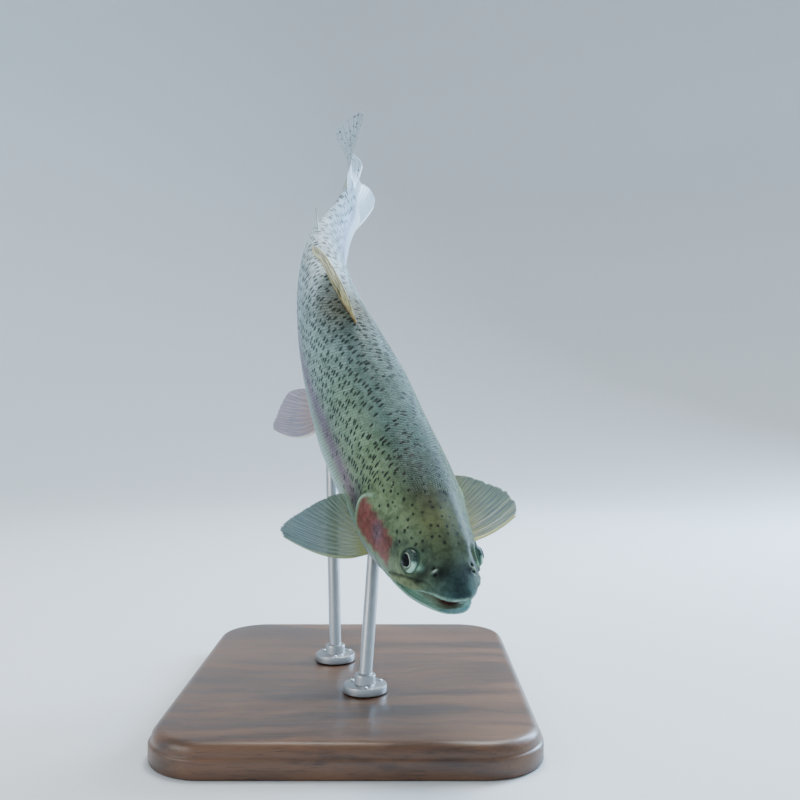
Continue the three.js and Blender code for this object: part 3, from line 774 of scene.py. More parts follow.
def hide_finish(name):
    """Wet skin and scales: ground colour, mottling, black spots and a silver sheen."""
    made = Finish(name, Coat_Weight=0.04, Coat_Roughness=0.15, Specular_IOR_Level=0.12)
    lay = made.read("lay", "Vector")
    straight = made.read("straight", "Vector")
    colour = made.read("ground", "Color")
    mottle = made.read("mottle")
    cloud = made.noise(straight, 60.0, 5.0, 0.6)
    grain = made.noise(straight, 700.0, 4.0, 0.6)
    clouding = made.times(made.span(cloud, 0.35, 0.7, 0.0, 0.55), mottle)
    colour = made.mix(clouding, colour, (0.5, 0.5, 0.44), "MULTIPLY")
    blotch = made.noise(straight, 240.0, 4.0, 0.65)
    blotching = made.times(made.span(blotch, 0.42, 0.62, 0.0, 0.5), mottle)
    colour = made.mix(blotching, colour, (0.48, 0.5, 0.48), "MULTIPLY")
    colour = made.mix(made.span(grain, 0.4, 0.7, 0.0, 0.3), colour, (0.45, 0.5, 0.45), "MULTIPLY")
    hue = made.noise(straight, 130.0, 3.0, 0.5, "Color")
    colour = made.mix(made.times(made.read("silver"), 0.3), colour, hue, "SOFT_LIGHT")
    rim = made.read("rim")
    tone = made.read("tone")
    rimmed = made.times(made.span(rim, 0.45, 1.0), 0.22)
    colour = made.mix(rimmed, colour, (0.3, 0.32, 0.3), "MULTIPLY")
    colour = made.mix(made.span(tone, 0.6, 1.0, 0.0, 0.035), colour, (0.9, 0.95, 0.9))
    spots = made.spots(made.slanted(lay, 74), 0.0031, 0.5, made.read("spotting"), 0.3, 0.35)
    head_spots = made.spots(lay, 0.0048, 0.95, made.read("head_spotting"), 0.19)
    pepper = made.span(made.noise(straight, 420.0, 2.0, 0.5), 0.66, 0.74)
    pepper = made.times(pepper, made.times(made.read("pepper"), 0.6))
    dark = made.sum("MAXIMUM", made.sum("MAXIMUM", spots, head_spots), pepper)
    strength = made.sum("MULTIPLY_ADD", made.read("pepper"), -0.14, 0.95)
    colour = made.mix(made.times(dark, strength), colour, tint(12, 16, 13))
    made.give(Base_Color=colour)
    bare = made.sum("MULTIPLY_ADD", made.read("is_scale"), -0.14, 0.4)
    rough = made.sum("MULTIPLY_ADD", grain, 0.22, bare)
    made.give(Roughness=rough)
    made.give(Metallic=made.read("silver"))
    pits = made.noise(straight, 1500.0, 3.0, 0.6)
    dimples = made.sum("ADD", pits, made.noise(straight, 420.0, 3.0, 0.6))
    fine = made.relief(dimples, 0.0003, 0.4)
    petal = made.read("petal", "Vector")
    rings = made.node("TexWave", {"Vector": petal, "Scale": 2.6, "Distortion": 0.6},
                      wave_type="RINGS", rings_direction="SPHERICAL")
    ringed = made.relief(made.times(rings.outputs["Fac"], made.read("is_scale")), 0.00012, 0.5, fine)
    made.give(Normal=ringed)
    return made.material


def make_piece(name, points, faces, material, floats=None, vectors=None, colours=None):
    """A smooth mesh piece that rides on the model's one body."""
    mesh = bpy.data.meshes.new(name)
    faces = np.asarray(faces)
    mesh.vertices.add(len(points))
    mesh.vertices.foreach_set("co", np.asarray(points, float).ravel())
    mesh.loops.add(faces.size)
    mesh.loops.foreach_set("vertex_index", faces.ravel())
    mesh.polygons.add(len(faces))
    mesh.polygons.foreach_set("loop_start", np.arange(0, faces.size, faces.shape[1]))
    mesh.update(calc_edges=True)
    mesh.validate()
    mesh.shade_smooth()
    kinds = (("FLOAT", "value", floats), ("FLOAT_VECTOR", "vector", vectors),
             ("FLOAT_COLOR", "color", colours))
    for kind, field, columns in kinds:
        for key, values in (columns or {}).items():
            if kind == "FLOAT_COLOR":
                values = np.concatenate([values, np.ones((len(values), 1))], axis=1)
            column = mesh.attributes.new(key, kind, "POINT")
            column.data.foreach_set(field, np.asarray(values, float).ravel())
    mesh.materials.append(material)
    made = bpy.data.objects.new(name, mesh)
    bpy.context.scene.collection.objects.link(made)
    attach(made, "root")
    return made


def hide_floats(s, level, head, rim, tone, is_scale):
    """What the hide's finish reads at each point of the skin or of a scale."""
    return {"spotting": spots_at(s, level) * (1 - head), "head_spotting": head_spots_at(s, level),
            "silver": silver_at(s, level),
            "pepper": step(0.2, 0.6, level) * (0.3 * head + step(105, 165, s)),
            "mottle": (0.25 + 0.75 * step(-0.4, 0.2, level)) * (1 + 0.3 * head),
            "rim": rim, "tone": tone, "is_scale": is_scale}


hide = hide_finish("trout_hide")
skin = make_piece(
    "skin", bend(skin_points), skin_faces[:, ::-1], hide,
    floats=hide_floats(s, level, head, 0 * s, 0 * s, 0 * s),
    vectors={"lay": np.stack([s, tape * np.sign(y), level], 1) * MM, "straight": skin_points * MM},
    colours={"ground": ground})
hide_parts("head", "lower_jaw", "gill_cover_left", "gill_cover_right", "upper_jaw_left",
            "upper_jaw_right", "trunk_shoulder", "trunk_front", "trunk_middle", "trunk_rear",
            "tail_stem_front", "tail_stem_rear")

# ======================================================================================
# SCALES
# Small overlapping plates of clear horn in slanting rows, each with its root in the skin
# and its round rear edge free over the ones behind. The rows run from the gill covers to
# the tail fin, counted out from the lateral line; the head has none.
# ======================================================================================

# Gaps between the rows and between the columns, against s
ROW_GAP = [(52, 1.3), (86, 1.55), (120, 1.95), (240, 2.05), (320, 1.6), (396, 1.35)]
COLUMN_GAP = [(52, 1.5), (86, 1.8), (120, 2.25), (240, 2.4), (320, 1.9), (396, 1.55)]
ROWS_START = 50
SCALE_LENGTH = 1.95  # in gaps between columns
SCALE_BREADTH = 1.9  # in gaps between rows
SCALE_SIDES = 10
ROOT_SINK = 0.22
REAR_LIFT = 0.22
SCALE_DOME = 0.13
SCALE_PIECES = [("scales_throat", 0, 97), ("scales_shoulder", 97, 140), ("scales_front", 140, 193),
                ("scales_middle", 193, 245), ("scales_rear", 245, 300), ("scales_stem", 300, 400)]


def angle_at(s, tape):
    """The angle round the body at which the tape, laid from the back, reads this length."""
    low = np.zeros(len(s))
    high = np.full(len(s), math.pi)
    for _ in range(14):
        middle = (low + high) / 2
        short = tape_at(s, middle) < tape
        low = np.where(short, middle, low)
        high = np.where(short, high, middle)
    return (low + high) / 2


def scale_roots():
    """Middle of each scale as s, tape and side, in staggered rows."""
    found = []
    at, column = float(ROWS_START), 0
    while at < FLESH_END - 4:
        gap = line(ROW_GAP, at)
        middle, whole = to_line(at), to_belly(at)
        for row in range(-60, 60):
            tape = middle + row * gap
            if (row + column) % 2 == 0 and 0.55 * gap < tape < whole - 0.55 * gap:
                found += [(at, tape, 1), (at, tape, -1)]
        if column % 2 == 0:
            found += [(at, 0.02, 1), (at, whole - 0.02, 1)]
        at += line(COLUMN_GAP, at) / 2
        column += 1
    return np.array(found)


# The head is bare up to a ragged line, which lies further forward on the nape
roots = scale_roots()
root_angle = angle_at(roots[:, 0], roots[:, 1])
head_end = gill_edge(root_angle) + 2.5 - 15 * step(0.3, 0.75, np.cos(root_angle))
head_end += 1.6 * np.sin(7 * root_angle + 1) + 1.1 * np.sin(19 * root_angle * roots[:, 2])
bare = roots[:, 0] < head_end
roots = roots[~bare]
root_angle = root_angle[~bare]
dice = np.random.default_rng(7)
roots[:, :2] += dice.normal(0, 0.09, (len(roots), 2))
from_head = roots[:, 0] - head_end[~bare]
size = 0.5 + 0.5 * step(0, 24, from_head)
size *= 1 - 0.3 * (1 - step(-1, -0.55, level_at(roots[:, 0], roots[:, 1])))
length = SCALE_LENGTH * line(COLUMN_GAP, roots[:, 0]) * size * dice.uniform(0.94, 1.06, len(roots))
breadth = SCALE_BREADTH * line(ROW_GAP, roots[:, 0]) * size * dice.uniform(0.94, 1.06, len(roots))
tilt = dice.normal(0, 0.035, len(roots))
tone = dice.uniform(0, 1, len(roots))
firm = 0.15 + 0.85 * step(0, 30, from_head)  # the first scales lie under more skin

# One scale: an edge ring, a raised ring inside it, a top and an underside point
ring_turn = turns(SCALE_SIDES)
edge_u, edge_w = 0.5 * np.cos(ring_turn), 0.5 * np.sin(ring_turn) * (0.94 + 0.1 * np.cos(ring_turn))
scale_u = np.concatenate([edge_u, edge_u * 0.66, [0.03, 0.0]])
scale_w = np.concatenate([edge_w, edge_w * 0.66, [0, 0]])
scale_dome = np.concatenate([np.zeros(SCALE_SIDES), np.full(SCALE_SIDES, 0.8), [1, -0.9]])
edge_rim = 0.45 + 0.55 * step(-0.4, 0.9, np.cos(ring_turn))
scale_rim = np.concatenate([edge_rim, np.full(SCALE_SIDES, 0.3), [0, 0]])
k = np.arange(SCALE_SIDES)
after = (k + 1) % SCALE_SIDES
top, under = 2 * SCALE_SIDES, 2 * SCALE_SIDES + 1
scale_faces = np.concatenate([
    np.stack([k, after, after + SCALE_SIDES], 1),
    np.stack([k, after + SCALE_SIDES, k + SCALE_SIDES], 1),
    np.stack([k + SCALE_SIDES, after + SCALE_SIDES, 0 * k + top], 1),
    np.stack([after, k, 0 * k + under], 1)])

# The OFBake patch of each scale lies at its root on the unrolled skin
LAY_LENGTH = FLESH_END * 1.04
LAY_BREADTH = TAPE[:, -1].max() * 2.08
PATCH = 0.003


def scale_piece(name, chosen):
    """All the scales of one stretch of the body, joined as one piece."""
    root, turn, long = roots[chosen], tilt[chosen, None], length[chosen, None]
    u, w = scale_u * long, scale_w * breadth[chosen, None]
    s = (root[:, 0, None] + u * np.cos(turn) - w * np.sin(turn)).ravel()
    tape = (root[:, 1, None] + w * np.cos(turn) + u * np.sin(turn)).ravel()
    side = np.repeat(root[:, 2], len(scale_u))
    whole = to_belly(s)
    crossed = (tape < 0) | (tape > whole)
    laid = np.where(tape < 0, -tape, np.where(tape > whole, 2 * whole - tape, tape))
    laid = np.clip(laid, 0, whole)
    angle = angle_at(s, laid)
    rise = -ROOT_SINK + (ROOT_SINK + REAR_LIFT) * (scale_u + 0.5) + SCALE_DOME * scale_dome
    rise = rise[None] * np.minimum(long / 4, 1.1) * (0.35 + 0.65 * firm[chosen, None])
    rise = rise.ravel() + trunk_rise(s)
    straight = on_skin(s, angle, rise)
    straight[:, 1] *= side * np.where(crossed, -1, 1)
    level = level_at(s, laid)
    count = len(scale_u)
    faces = (np.arange(len(root))[:, None, None] * count + scale_faces[None]).reshape(-1, 3)
    right = np.repeat(root[:, 2] < 0, len(scale_faces))
    faces[~right] = faces[~right][:, ::-1]
    piece_firm = np.repeat(firm[chosen], count)
    rim = np.tile(scale_rim, len(root)) * piece_firm
    petal = np.stack([np.tile(scale_u, len(root)), np.tile(scale_w, len(root)), 0 * s], 1)
    piece = make_piece(
        name, bend(straight), faces, hide,
        floats=hide_floats(s, level, 0, rim, np.repeat(tone[chosen], count), piece_firm),
        vectors={"lay": np.stack([s, laid * side, level], 1) * MM, "straight": straight * MM,
                 "petal": petal},
        colours={"ground": ground_tint(s, level)})
    place = np.stack([0.02 + root[:, 0] / LAY_LENGTH, 0.5 + root[:, 1] * root[:, 2] / LAY_BREADTH], 1)
    local = np.stack([scale_u, scale_w], 1) * PATCH
    spread = (place[:, None] + local[None]).reshape(-1, 2)
    lay = piece.data.uv_layers.new(name="OFBake")
    lay.data.foreach_set("uv", spread[faces.ravel()].ravel())


for name, start, end in SCALE_PIECES:
    scale_piece(name, np.flatnonzero((roots[:, 0] >= start) & (roots[:, 0] < end)))

# ======================================================================================
# EYES
# Round glassy eyeballs set in the sockets: a clear coat over a dark green iris with a
# silver crescent, and a black pupil that comes to a blunt point at its front.
# ======================================================================================

EYE_AXES = {-1: (-0.02, 0.95, 0.25), 1: (0.17, 0.95, 0.22)}  # where the right and left eye look
PUPIL = 3.35
IRIS = 6.2
EYE_SIDES = 96
EYE_TILTS = np.radians(np.concatenate([np.linspace(0.4, 64, 72), np.linspace(68, 179, 22)]))

eye_finish = Finish("eye_glass", Roughness=0.25, Coat_Weight=0.07, Coat_Roughness=0.03,
                    Specular_IOR_Level=0.05)
in_iris = eye_finish.read("iris")
flecks = eye_finish.noise(eye_finish.read("disc", "Vector"), 5.0, 6.0, 0.65)
spokes = eye_finish.noise(eye_finish.read("spoke", "Vector"), 6.0, 3.0, 0.6)
flecked = eye_finish.times(eye_finish.span(flecks, 0.48, 0.62), in_iris)
rayed = eye_finish.times(eye_finish.span(spokes, 0.4, 0.7, 0.0, 0.1), in_iris)
eye_colour = eye_finish.mix(flecked, eye_finish.read("ground", "Color"), tint(40, 42, 30))
eye_colour = eye_finish.mix(rayed, eye_colour, tint(196, 190, 140))
eye_finish.give(Base_Color=eye_colour, Metallic=eye_finish.times(in_iris, 0.2))
eye_finish.give(Normal=eye_finish.relief(eye_finish.times(spokes, in_iris), 0.0003, 0.4))


def eyeball(name, side):
    """An eyeball of rings round its axis, from the middle of the pupil to the back."""
    axis = unit(np.array(EYE_AXES[side]) * (1, side, 1))
    ahead = unit(np.array([-1.0, 0, 0]) - axis * -axis[0])
    upward = np.cross(axis, ahead) * (1 if np.cross(axis, ahead)[2] > 0 else -1)
    tilt, turn = (a.ravel() for a in np.meshgrid(EYE_TILTS, turns(EYE_SIDES), indexing="ij"))
    from_axis = EYE_RADIUS * np.sin(tilt)
    along, over_it = np.cos(turn), np.sin(turn)
    past = from_axis - PUPIL * (1 + 0.28 * np.maximum(along, 0) ** 4)
    front = tilt < math.pi / 2
    relief = 0.3 * (1 - step(-0.5, 0.1, past)) - 0.28 * bump(past - 0.25, 0.45)
    relief += 0.12 * bump(past - 1.6, 0.8)
    reach = EYE_RADIUS + front * relief + 0.35 * step(math.radians(44), math.radians(54), tilt)
    centre = np.array(EYE_PLACE) * (1, side, 1)
    sideways = (ahead * along[:, None] + upward * over_it[:, None]) * (reach * np.sin(tilt))[:, None]
    points = centre + axis * (reach * np.cos(tilt))[:, None] + sideways
    iris = front * step(0.0, 0.12, past) * (1 - step(IRIS - 0.4, IRIS + 0.3, from_axis))
    round_it = np.degrees(np.arctan2(over_it, along))
    crescent = step(-95, -60, round_it) * (1 - step(14, 40, round_it))
    inner = 2.1 - 1.6 * step(-90, 0, round_it)
    ground = painted(np.tile(tint(7, 9, 10), (len(points), 1)), [
        ((46, 68, 66), iris),
        ((70, 92, 74), iris * (1 - step(-10, 30, round_it))),
        ((178, 224, 200), iris * crescent * step(inner, inner + 0.5, past)),
        ((196, 206, 190), front * bump(past - 0.18, 0.16)),
        ((66, 90, 76), front * step(IRIS - 0.1, IRIS + 0.3, from_axis))])
    faces = between_rings(len(EYE_TILTS), EYE_SIDES)
    if side * np.cross(ahead, upward)[1] > 0:
        faces = faces[:, ::-1]
    disc = np.stack([along * from_axis, over_it * from_axis, 0 * turn], 1)
    spoke = np.stack([along * 3, over_it * 3, past * 0.25], 1)
    made = make_piece(name, bend(points), faces, eye_finish.material, floats={"iris": iris},
                      vectors={"disc": disc, "spoke": spoke}, colours={"ground": ground})
    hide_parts(name.replace("eyeball", "eye"))


eyeball("eyeball_right", -1)
eyeball("eyeball_left", 1)

# ======================================================================================
# FINS
# Thin wet skin stretched over bony rays that fork twice on their way out and leave a
# scalloped edge. Each fin grows from a fleshy root in the body.
# ======================================================================================


def fin_finish(name, skin_tint, ray_tint, edge_tint, root_tint, clear, spotted=0.0,
               spot_size=0.0034, root_reach=0.018, dashes=0.0):
    """Translucent fin skin with paler rays; spots and a pale leading edge where it has them."""
    made = Finish(name, Coat_Weight=0.25, Coat_Roughness=0.2, Specular_IOR_Level=0.4)
    place = made.read("fin_place", "Vector")
    ray = made.read("ray")
    flesh = made.read("flesh")
    streak = made.noise(made.vector("MULTIPLY", place, (900.0, 90.0, 0.0)), 1.0, 4.0, 0.6)
    cloud = made.noise(place, 120.0, 4.0, 0.6)
    colour = made.mix(made.span(cloud, 0.35, 0.7, 0.0, 0.5), skin_tint, skin_tint * 0.62)
    colour = made.mix(made.span(streak, 0.4, 0.7, 0.0, 0.35), colour, ray_tint)
    joints = made.node("TexWave", {"Vector": place, "Scale": 260.0, "Distortion": 1.5},
                       bands_direction="Y")
    jointed = made.times(ray, made.span(joints.outputs["Fac"], 0.1, 0.6, 0.72, 1.0))
    colour = made.mix(made.times(jointed, 0.85), colour, ray_tint)
    dash = made.noise(made.vector("MULTIPLY", place, (460.0, 110.0, 0.0)), 1.0, 1.0, 0.5)
    colour = made.mix(made.span(dash, 0.53, 0.58, 0.0, dashes), colour, tint(22, 20, 12))
    colour = made.mix(made.read("lead"), colour, edge_tint)
    outward = made.node("SeparateXYZ", {0: place}).outputs[1]
    colour = made.mix(made.span(outward, 0.0, root_reach, 0.9, 0.0), colour, root_tint)
    colour = made.mix(flesh, colour, root_tint)
    dark = made.spots(place, spot_size, 1.5, made.times(made.read("spotting"), spotted), 0.3)
    colour = made.mix(made.times(dark, 0.85), colour, tint(26, 28, 22))
    made.give(Base_Color=colour)
    firm_skin = made.sum("MAXIMUM", made.times(ray, 0.9), flesh)
    solid = made.sum("MAXIMUM", firm_skin, made.sum("MAXIMUM", dark, made.read("lead")))
    made.give(Alpha=made.span(solid, 0.0, 1.0, clear, 1.0))
    made.give(Roughness=made.sum("MULTIPLY_ADD", cloud, 0.25, 0.22))
    made.give(Normal=made.relief(streak, 0.00015, 0.4))
    return made.material


# A ray parts in two between the first pair of parts of its length, and again at the second
FIRST_FORK = (0.34, 0.79)
SECOND_FORK = (0.68, 1.03)


def fin_frame(back, out):
    """Square frame from the way of a fin's root line and its rough way out."""
    back = unit(np.array(back, float))
    across = unit(np.cross(back, out))
    return back, np.cross(across, back), across


def fin_piece(name, node, material, root, frame, root_length, slant, lengths, rays, thick, curve,
              seed, bow=0.0, lead=0, lead_width=1.2, pleat=0.1, columns=16, rows=54,
              spots=lambda f, t: 0):
    """A fan of forking rays, where f is the part of the way along the root and t the way out.

    frame is the way of the root line, the way out from it and the way across. slant and
    lengths hold each ray's lean in degrees and its length, and curve bends the fin across.
    """
    back, out, across = frame
    dice = np.random.default_rng(seed)
    across_count = rays * columns
    f, t = np.meshgrid(np.linspace(0, 1, across_count + 1), np.linspace(0, 1, rows + 1) ** 0.9,
                       indexing="ij")
    spreads = []
    for ray in range(rays):
        own = dice.uniform(0.85, 1.15)
        for first in (-1, 1):
            for second in (-1, 1):
                apart = first * 0.25 * step(*FIRST_FORK, t) * own
                apart = apart + second * 0.12 * step(*SECOND_FORK, t)
                spreads.append((ray + 0.5 + apart) / rays)
    length = smooth_line(lengths, f)
    nearest = np.full(f.shape, 1e9)
    for centre in spreads:
        nearest = np.minimum(nearest, np.abs(f - centre))
    span_width = root_length + length * t * math.radians(abs(slant[-1][1] - slant[0][1])) * 0.9
    ray_width = 0.34 - 0.14 * t
    ray = bump(nearest * span_width, ray_width)
    margin = nearest[:, -1:] * span_width[:, -1:]
    nicks = np.interp(f, np.linspace(0, 1, 60), dice.uniform(0, 1, 60) ** 5)
    length = length * (1 - 0.022 * np.clip(margin / 0.9, 0, 1) - 0.03 * nicks)
    lean = np.radians(smooth_line(slant, f))
    u = f * root_length + (np.sin(lean) - bow * (1 - f) ** 1.5 * (1 - t)) * length * t
    v = np.cos(lean) * length * t
    wave = np.cos(2 * math.pi * rays * f) * step(0, 0.4, t) + 0.8 * np.sin(5 * f + 4 * t) * t
    middle = curve(f, t) + pleat * wave
    root_half = thick / 2 * (1 - step(0.0, 0.22, t))
    half = 0.12 + 0.2 * ray * (1 - 0.55 * t) + root_half
    ends = np.minimum(np.minimum(f, 1 - f) * across_count / 3, (1 - t) * 40)
    half = half * np.clip(0.25 + ends, 0.25, 1)
    lead_line = span_width * (f if lead >= 0 else 1 - f)
    lead_mask = abs(lead) * (1 - step(lead_width * 0.4, lead_width, lead_line)) * step(0.1, 0.35, t)
    flat = np.array(root, float) + back * u[..., None] + out * v[..., None]
    sheets = [flat + across * (middle + sign * half)[..., None] for sign in (1, -1)]
    points = np.concatenate([sheet.reshape(-1, 3) for sheet in sheets])
    count = (across_count + 1) * (rows + 1)
    i, k = np.meshgrid(np.arange(across_count), np.arange(rows), indexing="ij")
    a = (i * (rows + 1) + k).ravel()
    one = np.stack([a, a + rows + 1, a + rows + 2, a + 1], 1)
    base = np.arange(across_count) * (rows + 1)
    tip = base + rows
    first = np.arange(rows)
    last = across_count * (rows + 1) + first
    faces = np.concatenate([
        one, one[:, ::-1] + count,
        np.stack([tip, tip + rows + 1, tip + rows + 1 + count, tip + count], 1),
        np.stack([base + count, base + rows + 1 + count, base + rows + 1, base], 1),
        np.stack([first, first + 1, first + 1 + count, first + count], 1),
        np.stack([last + count, last + 1 + count, last + 1, last], 1)])
    corner = [points[faces[:, n]] for n in range(4)]
    if sum((corner[0] * np.cross(corner[n], corner[n + 1])).sum() for n in (1, 2)) > 0:
        faces = faces[:, ::-1]

    def both(values):
        return np.concatenate([np.broadcast_to(values, f.shape).ravel()] * 2)

    place = np.stack([both(f * span_width), both(t * length), both(0 * f)], 1)
    made = make_piece(name, bend(points), faces, material,
                      floats={"ray": both(ray), "flesh": both(1 - step(0.05, 0.26, t)),
                              "lead": both(lead_mask), "spotting": both(spots(f, t))},
                      vectors={"fin_place": place * MM})
    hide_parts(node)


def leaning(degrees):
    """The way up, leaning over to the right."""
    return [0, -math.sin(math.radians(degrees)), math.cos(math.radians(degrees))]


yellow_fin = fin_finish("dorsal_fin_skin", tint(200, 188, 128), tint(248, 242, 196),
                        tint(236, 242, 236), tint(122, 78, 30), 0.9, spotted=0.3,
                        root_reach=0.014, dashes=0.92)
fin_piece("dorsal", "dorsal_fin", yellow_fin, [193, 0, 44],
          fin_frame([1, 0, -0.1], leaning(5.5)), 49, slant=[(0, 31), (0.4, 38), (1, 52)],
          lengths=[(0, 47), (0.12, 46), (0.35, 42), (0.7, 31.5), (1, 20)], bow=0.3, rays=12,
          thick=2.6, curve=lambda f, t: 6 * t * t, lead=0.8, lead_width=1.6,
          spots=lambda f, t: 0.85, seed=3)

fat_fin = fin_finish("adipose_fin_skin", tint(116, 126, 112), tint(126, 134, 118),
                     tint(120, 130, 118), tint(130, 142, 132), 1.0, spotted=1.0)
fin_piece("adipose", "adipose_fin", fat_fin, [299, 0, 27], fin_frame([1, 0, -0.25], leaning(6)), 11,
          slant=[(0, 58), (1, 42)], lengths=[(0, 20), (0.4, 23), (1, 13)], rays=4, thick=2.6,
          curve=lambda f, t: 0, pleat=0.05, columns=10, rows=36,
          spots=lambda f, t: 0.6, seed=4)

pale_fin = fin_finish("anal_fin_skin", tint(186, 196, 212), tint(208, 214, 222),
                      tint(238, 246, 248), tint(170, 172, 158), 0.84)
fin_piece("anal", "anal_fin", pale_fin, [286, 0, -29], fin_frame([1, 0, 0.25], [0, -0.45, -1]), 39,
          slant=[(0, 30), (0.4, 40), (1, 54)],
          lengths=[(0, 44), (0.12, 48), (0.35, 43), (0.7, 31), (1, 22)],
          bow=0.4, rays=10, thick=2.4, curve=lambda f, t: 5 * t * t, lead=1.0, lead_width=2.4, seed=5)


def tail_fold(f, t):
    """The upper lobe of the tail is swept over to the right, the lower one much less."""
    upper = np.sin(math.pi * np.minimum(f / 0.42, 1)) ** 2
    return t * t * (8 - 8 * f - 26 * upper - 7 * bump(f - 0.52, 0.13))


tail_finish = fin_finish("tail_fin_skin", tint(158, 176, 188), tint(196, 206, 208),
                         tint(236, 244, 248), tint(168, 176, 168), 0.92, spotted=0.5,
                         spot_size=0.0026)
fin_piece("tail", "tail_fin", tail_finish, [382, 0, 19],
          (np.array([0, 0, -1.0]), np.array([1.0, 0, 0]), np.array([0, 1.0, 0])), 38,
          slant=[(0, -33), (0.25, -22), (0.5, -8), (0.75, 4), (1, 14)],
          lengths=[(0, 64), (0.06, 72), (0.2, 64), (0.5, 40), (0.8, 50), (0.94, 56), (1, 50)],
          rays=18, thick=3.2, columns=14,
          curve=tail_fold, lead=-1.0, lead_width=2.2,
          spots=lambda f, t: 0.6 * (1 - step(0.45, 0.6, f)) * step(0.15, 0.3, t), seed=6)

BREAST_SKINS = {
    "right": fin_finish("pectoral_right_skin", tint(78, 108, 120), tint(152, 174, 162),
                        tint(170, 182, 130), tint(150, 152, 96), 0.76, root_reach=0.044),
    "left": fin_finish("pectoral_left_skin", tint(86, 108, 112), tint(168, 182, 146),
                       tint(210, 210, 130), tint(196, 176, 52), 0.76, root_reach=0.056)}
BREAST_FINS = [
    ("right", -1, [-0.03, -0.99, -0.1], 0.6, [(0, 14), (0.5, 26), (1, 66)],
     [(0, 54), (0.15, 56), (0.4, 50), (0.75, 33), (1, 21)]),
    ("left", 1, [-0.05, 1, 0.03], 0.35, [(0, 8), (0.5, 27), (1, 50)],
     [(0, 64), (0.15, 68), (0.4, 57), (0.75, 40), (1, 22)])]
for name, side, out, bow, slant, lengths in BREAST_FINS:
    fin_piece(f"pectoral_{name}", f"pectoral_fin_{name}", BREAST_SKINS[name], [84, 15 * side, -31],
              fin_frame([0.93, 0, 0.36], out), 15, slant=slant, lengths=lengths, bow=bow, rays=13,
              thick=3, curve=lambda f, t, side=side: 7.5 * side * t * t, lead=0.7,
              lead_width=2.0, seed=8 + side)

belly_fin = fin_finish("pelvic_fin_skin", tint(150, 150, 174), tint(180, 164, 164),
                       tint(238, 244, 244), tint(184, 148, 128), 0.76, root_reach=0.026)
for side, name, out in ((-1, "right", [0, -0.88, -0.47]), (1, "left", [0.2, 0.6, -0.8])):
    fin_piece(f"pelvic_{name}", f"pelvic_fin_{name}", belly_fin, [192, 8 * side, -38],
              fin_frame([1, 0, 0.12], out), 13, slant=[(0, 6), (0.5, 17), (1, 50)], bow=1.1,
              lengths=[(0, 38), (0.15, 39), (0.45, 36), (0.8, 31), (1, 18)], rays=10, thick=2.6,
              curve=lambda f, t, side=side: 3.4 * side * t * t, lead=1.0, lead_width=2.0,
              seed=12 + side)

# ======================================================================================
# STAND
# A dark stained wooden base with a moulded edge, and two brushed steel rods. Each rod is
# screwed into a round foot below and carries a small pad hollowed to the belly.
# ======================================================================================

BASE_HALF = (105, 125)
BASE_CORNER = 34
BASE_EDGE = [(2.4, 0), (0.6, 0.3), (0, 1.4), (0, 9.6), (0.3, 10.4), (1.2, 10.8), (1.5, 11.3),
             (1.6, 12.6), (2.2, 14.6), (3.6, 16.4), (5.2, 17.4), (6.6, 17.8), (8, 18), (30, 18),
             (70, 18)]
BASE_TOP = 18.3
FOOT_EDGE = [(12.2, 0), (13, 0.7), (13, 3.7), (12.6, 4.6), (11.6, 5), (7.4, 5), (6.6, 5.3),
             (6.3, 6.2), (6.3, 9.6), (5.9, 10.3), (4.4, 10.6), (4.0, 10.6)]
SCREW_EDGE = [(1.9, 0), (1.9, 0.3), (1.6, 0.7), (1.0, 0.95), (0.75, 0.98), (0.7, 0.4), (0.2, 0.35)]
SCREW_CIRCLE = 9.6
SCREW_HEIGHT = 4.9
PAD_EDGE = [(5.6, 4.0), (6.6, 3.9), (7.0, 3.4), (7.0, 0), (6.2, 0), (2, 0)]  # 0 is the belly
ROD_RADIUS = 4
STANDS = [("front", 112, (8, -42)), ("rear", 238, (-14, 22))]  # place on the belly, and of the foot


def closed_rings(rings):
    """A row of rings with a fan over each end, all in triangles."""
    points, wall, ends = capped(rings)
    return points, np.concatenate([wall[:, [0, 1, 2, 0, 2, 3]].reshape(-1, 3), ends])


def base_ring(inset, height):
    """Outline of the base, drawn in by an inset."""
    corner = max(BASE_CORNER - inset, 4)
    ring = []
    for quarter in range(4):
        sx, sy = ((1, 1), (-1, 1), (-1, -1), (1, -1))[quarter]
        for turn in np.linspace(0, 90, 15):
            way = math.radians(turn + 90 * quarter)
            ring.append((sx * (BASE_HALF[0] - inset - corner) + corner * math.cos(way),
                         sy * (BASE_HALF[1] - inset - corner) + corner * math.sin(way), height))
    return np.array(ring)


wood = Finish("base_wood", Coat_Weight=0.35, Coat_Roughness=0.25, Specular_IOR_Level=0.45)
wood_where = wood.node("TexCoord").outputs["Object"]
long_grain = wood.vector("MULTIPLY", wood_where, (9.0, 90.0, 90.0))
sway = wood.noise(wood_where, 7.0, 3.0, 0.5, "Color")
long_grain = wood.vector("ADD", long_grain, wood.vector("MULTIPLY", sway, (2.5, 5.0, 2.5)))
figure = wood.noise(long_grain, 0.7, 6.0, 0.62)
pores = wood.noise(wood.vector("MULTIPLY", wood_where, (60.0, 1300.0, 1300.0)), 1.0, 3.0, 0.7)
wood_colour = wood.mix(wood.span(figure, 0.32, 0.68), tint(58, 38, 26), tint(104, 70, 46))
wood_colour = wood.mix(wood.span(pores, 0.56, 0.7, 0.0, 0.7), wood_colour, tint(30, 20, 14))
wood.give(Base_Color=wood_colour)
wood.give(Roughness=wood.sum("MULTIPLY_ADD", figure, 0.25, 0.32))
wood.give(Normal=wood.relief(wood.sum("SUBTRACT", 1.0, pores), 0.0003, 0.35))

base_points, base_faces = closed_rings([base_ring(*edge) for edge in BASE_EDGE])
base = make_piece("base", base_points * MM, base_faces, wood.material)
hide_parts("stand_base")

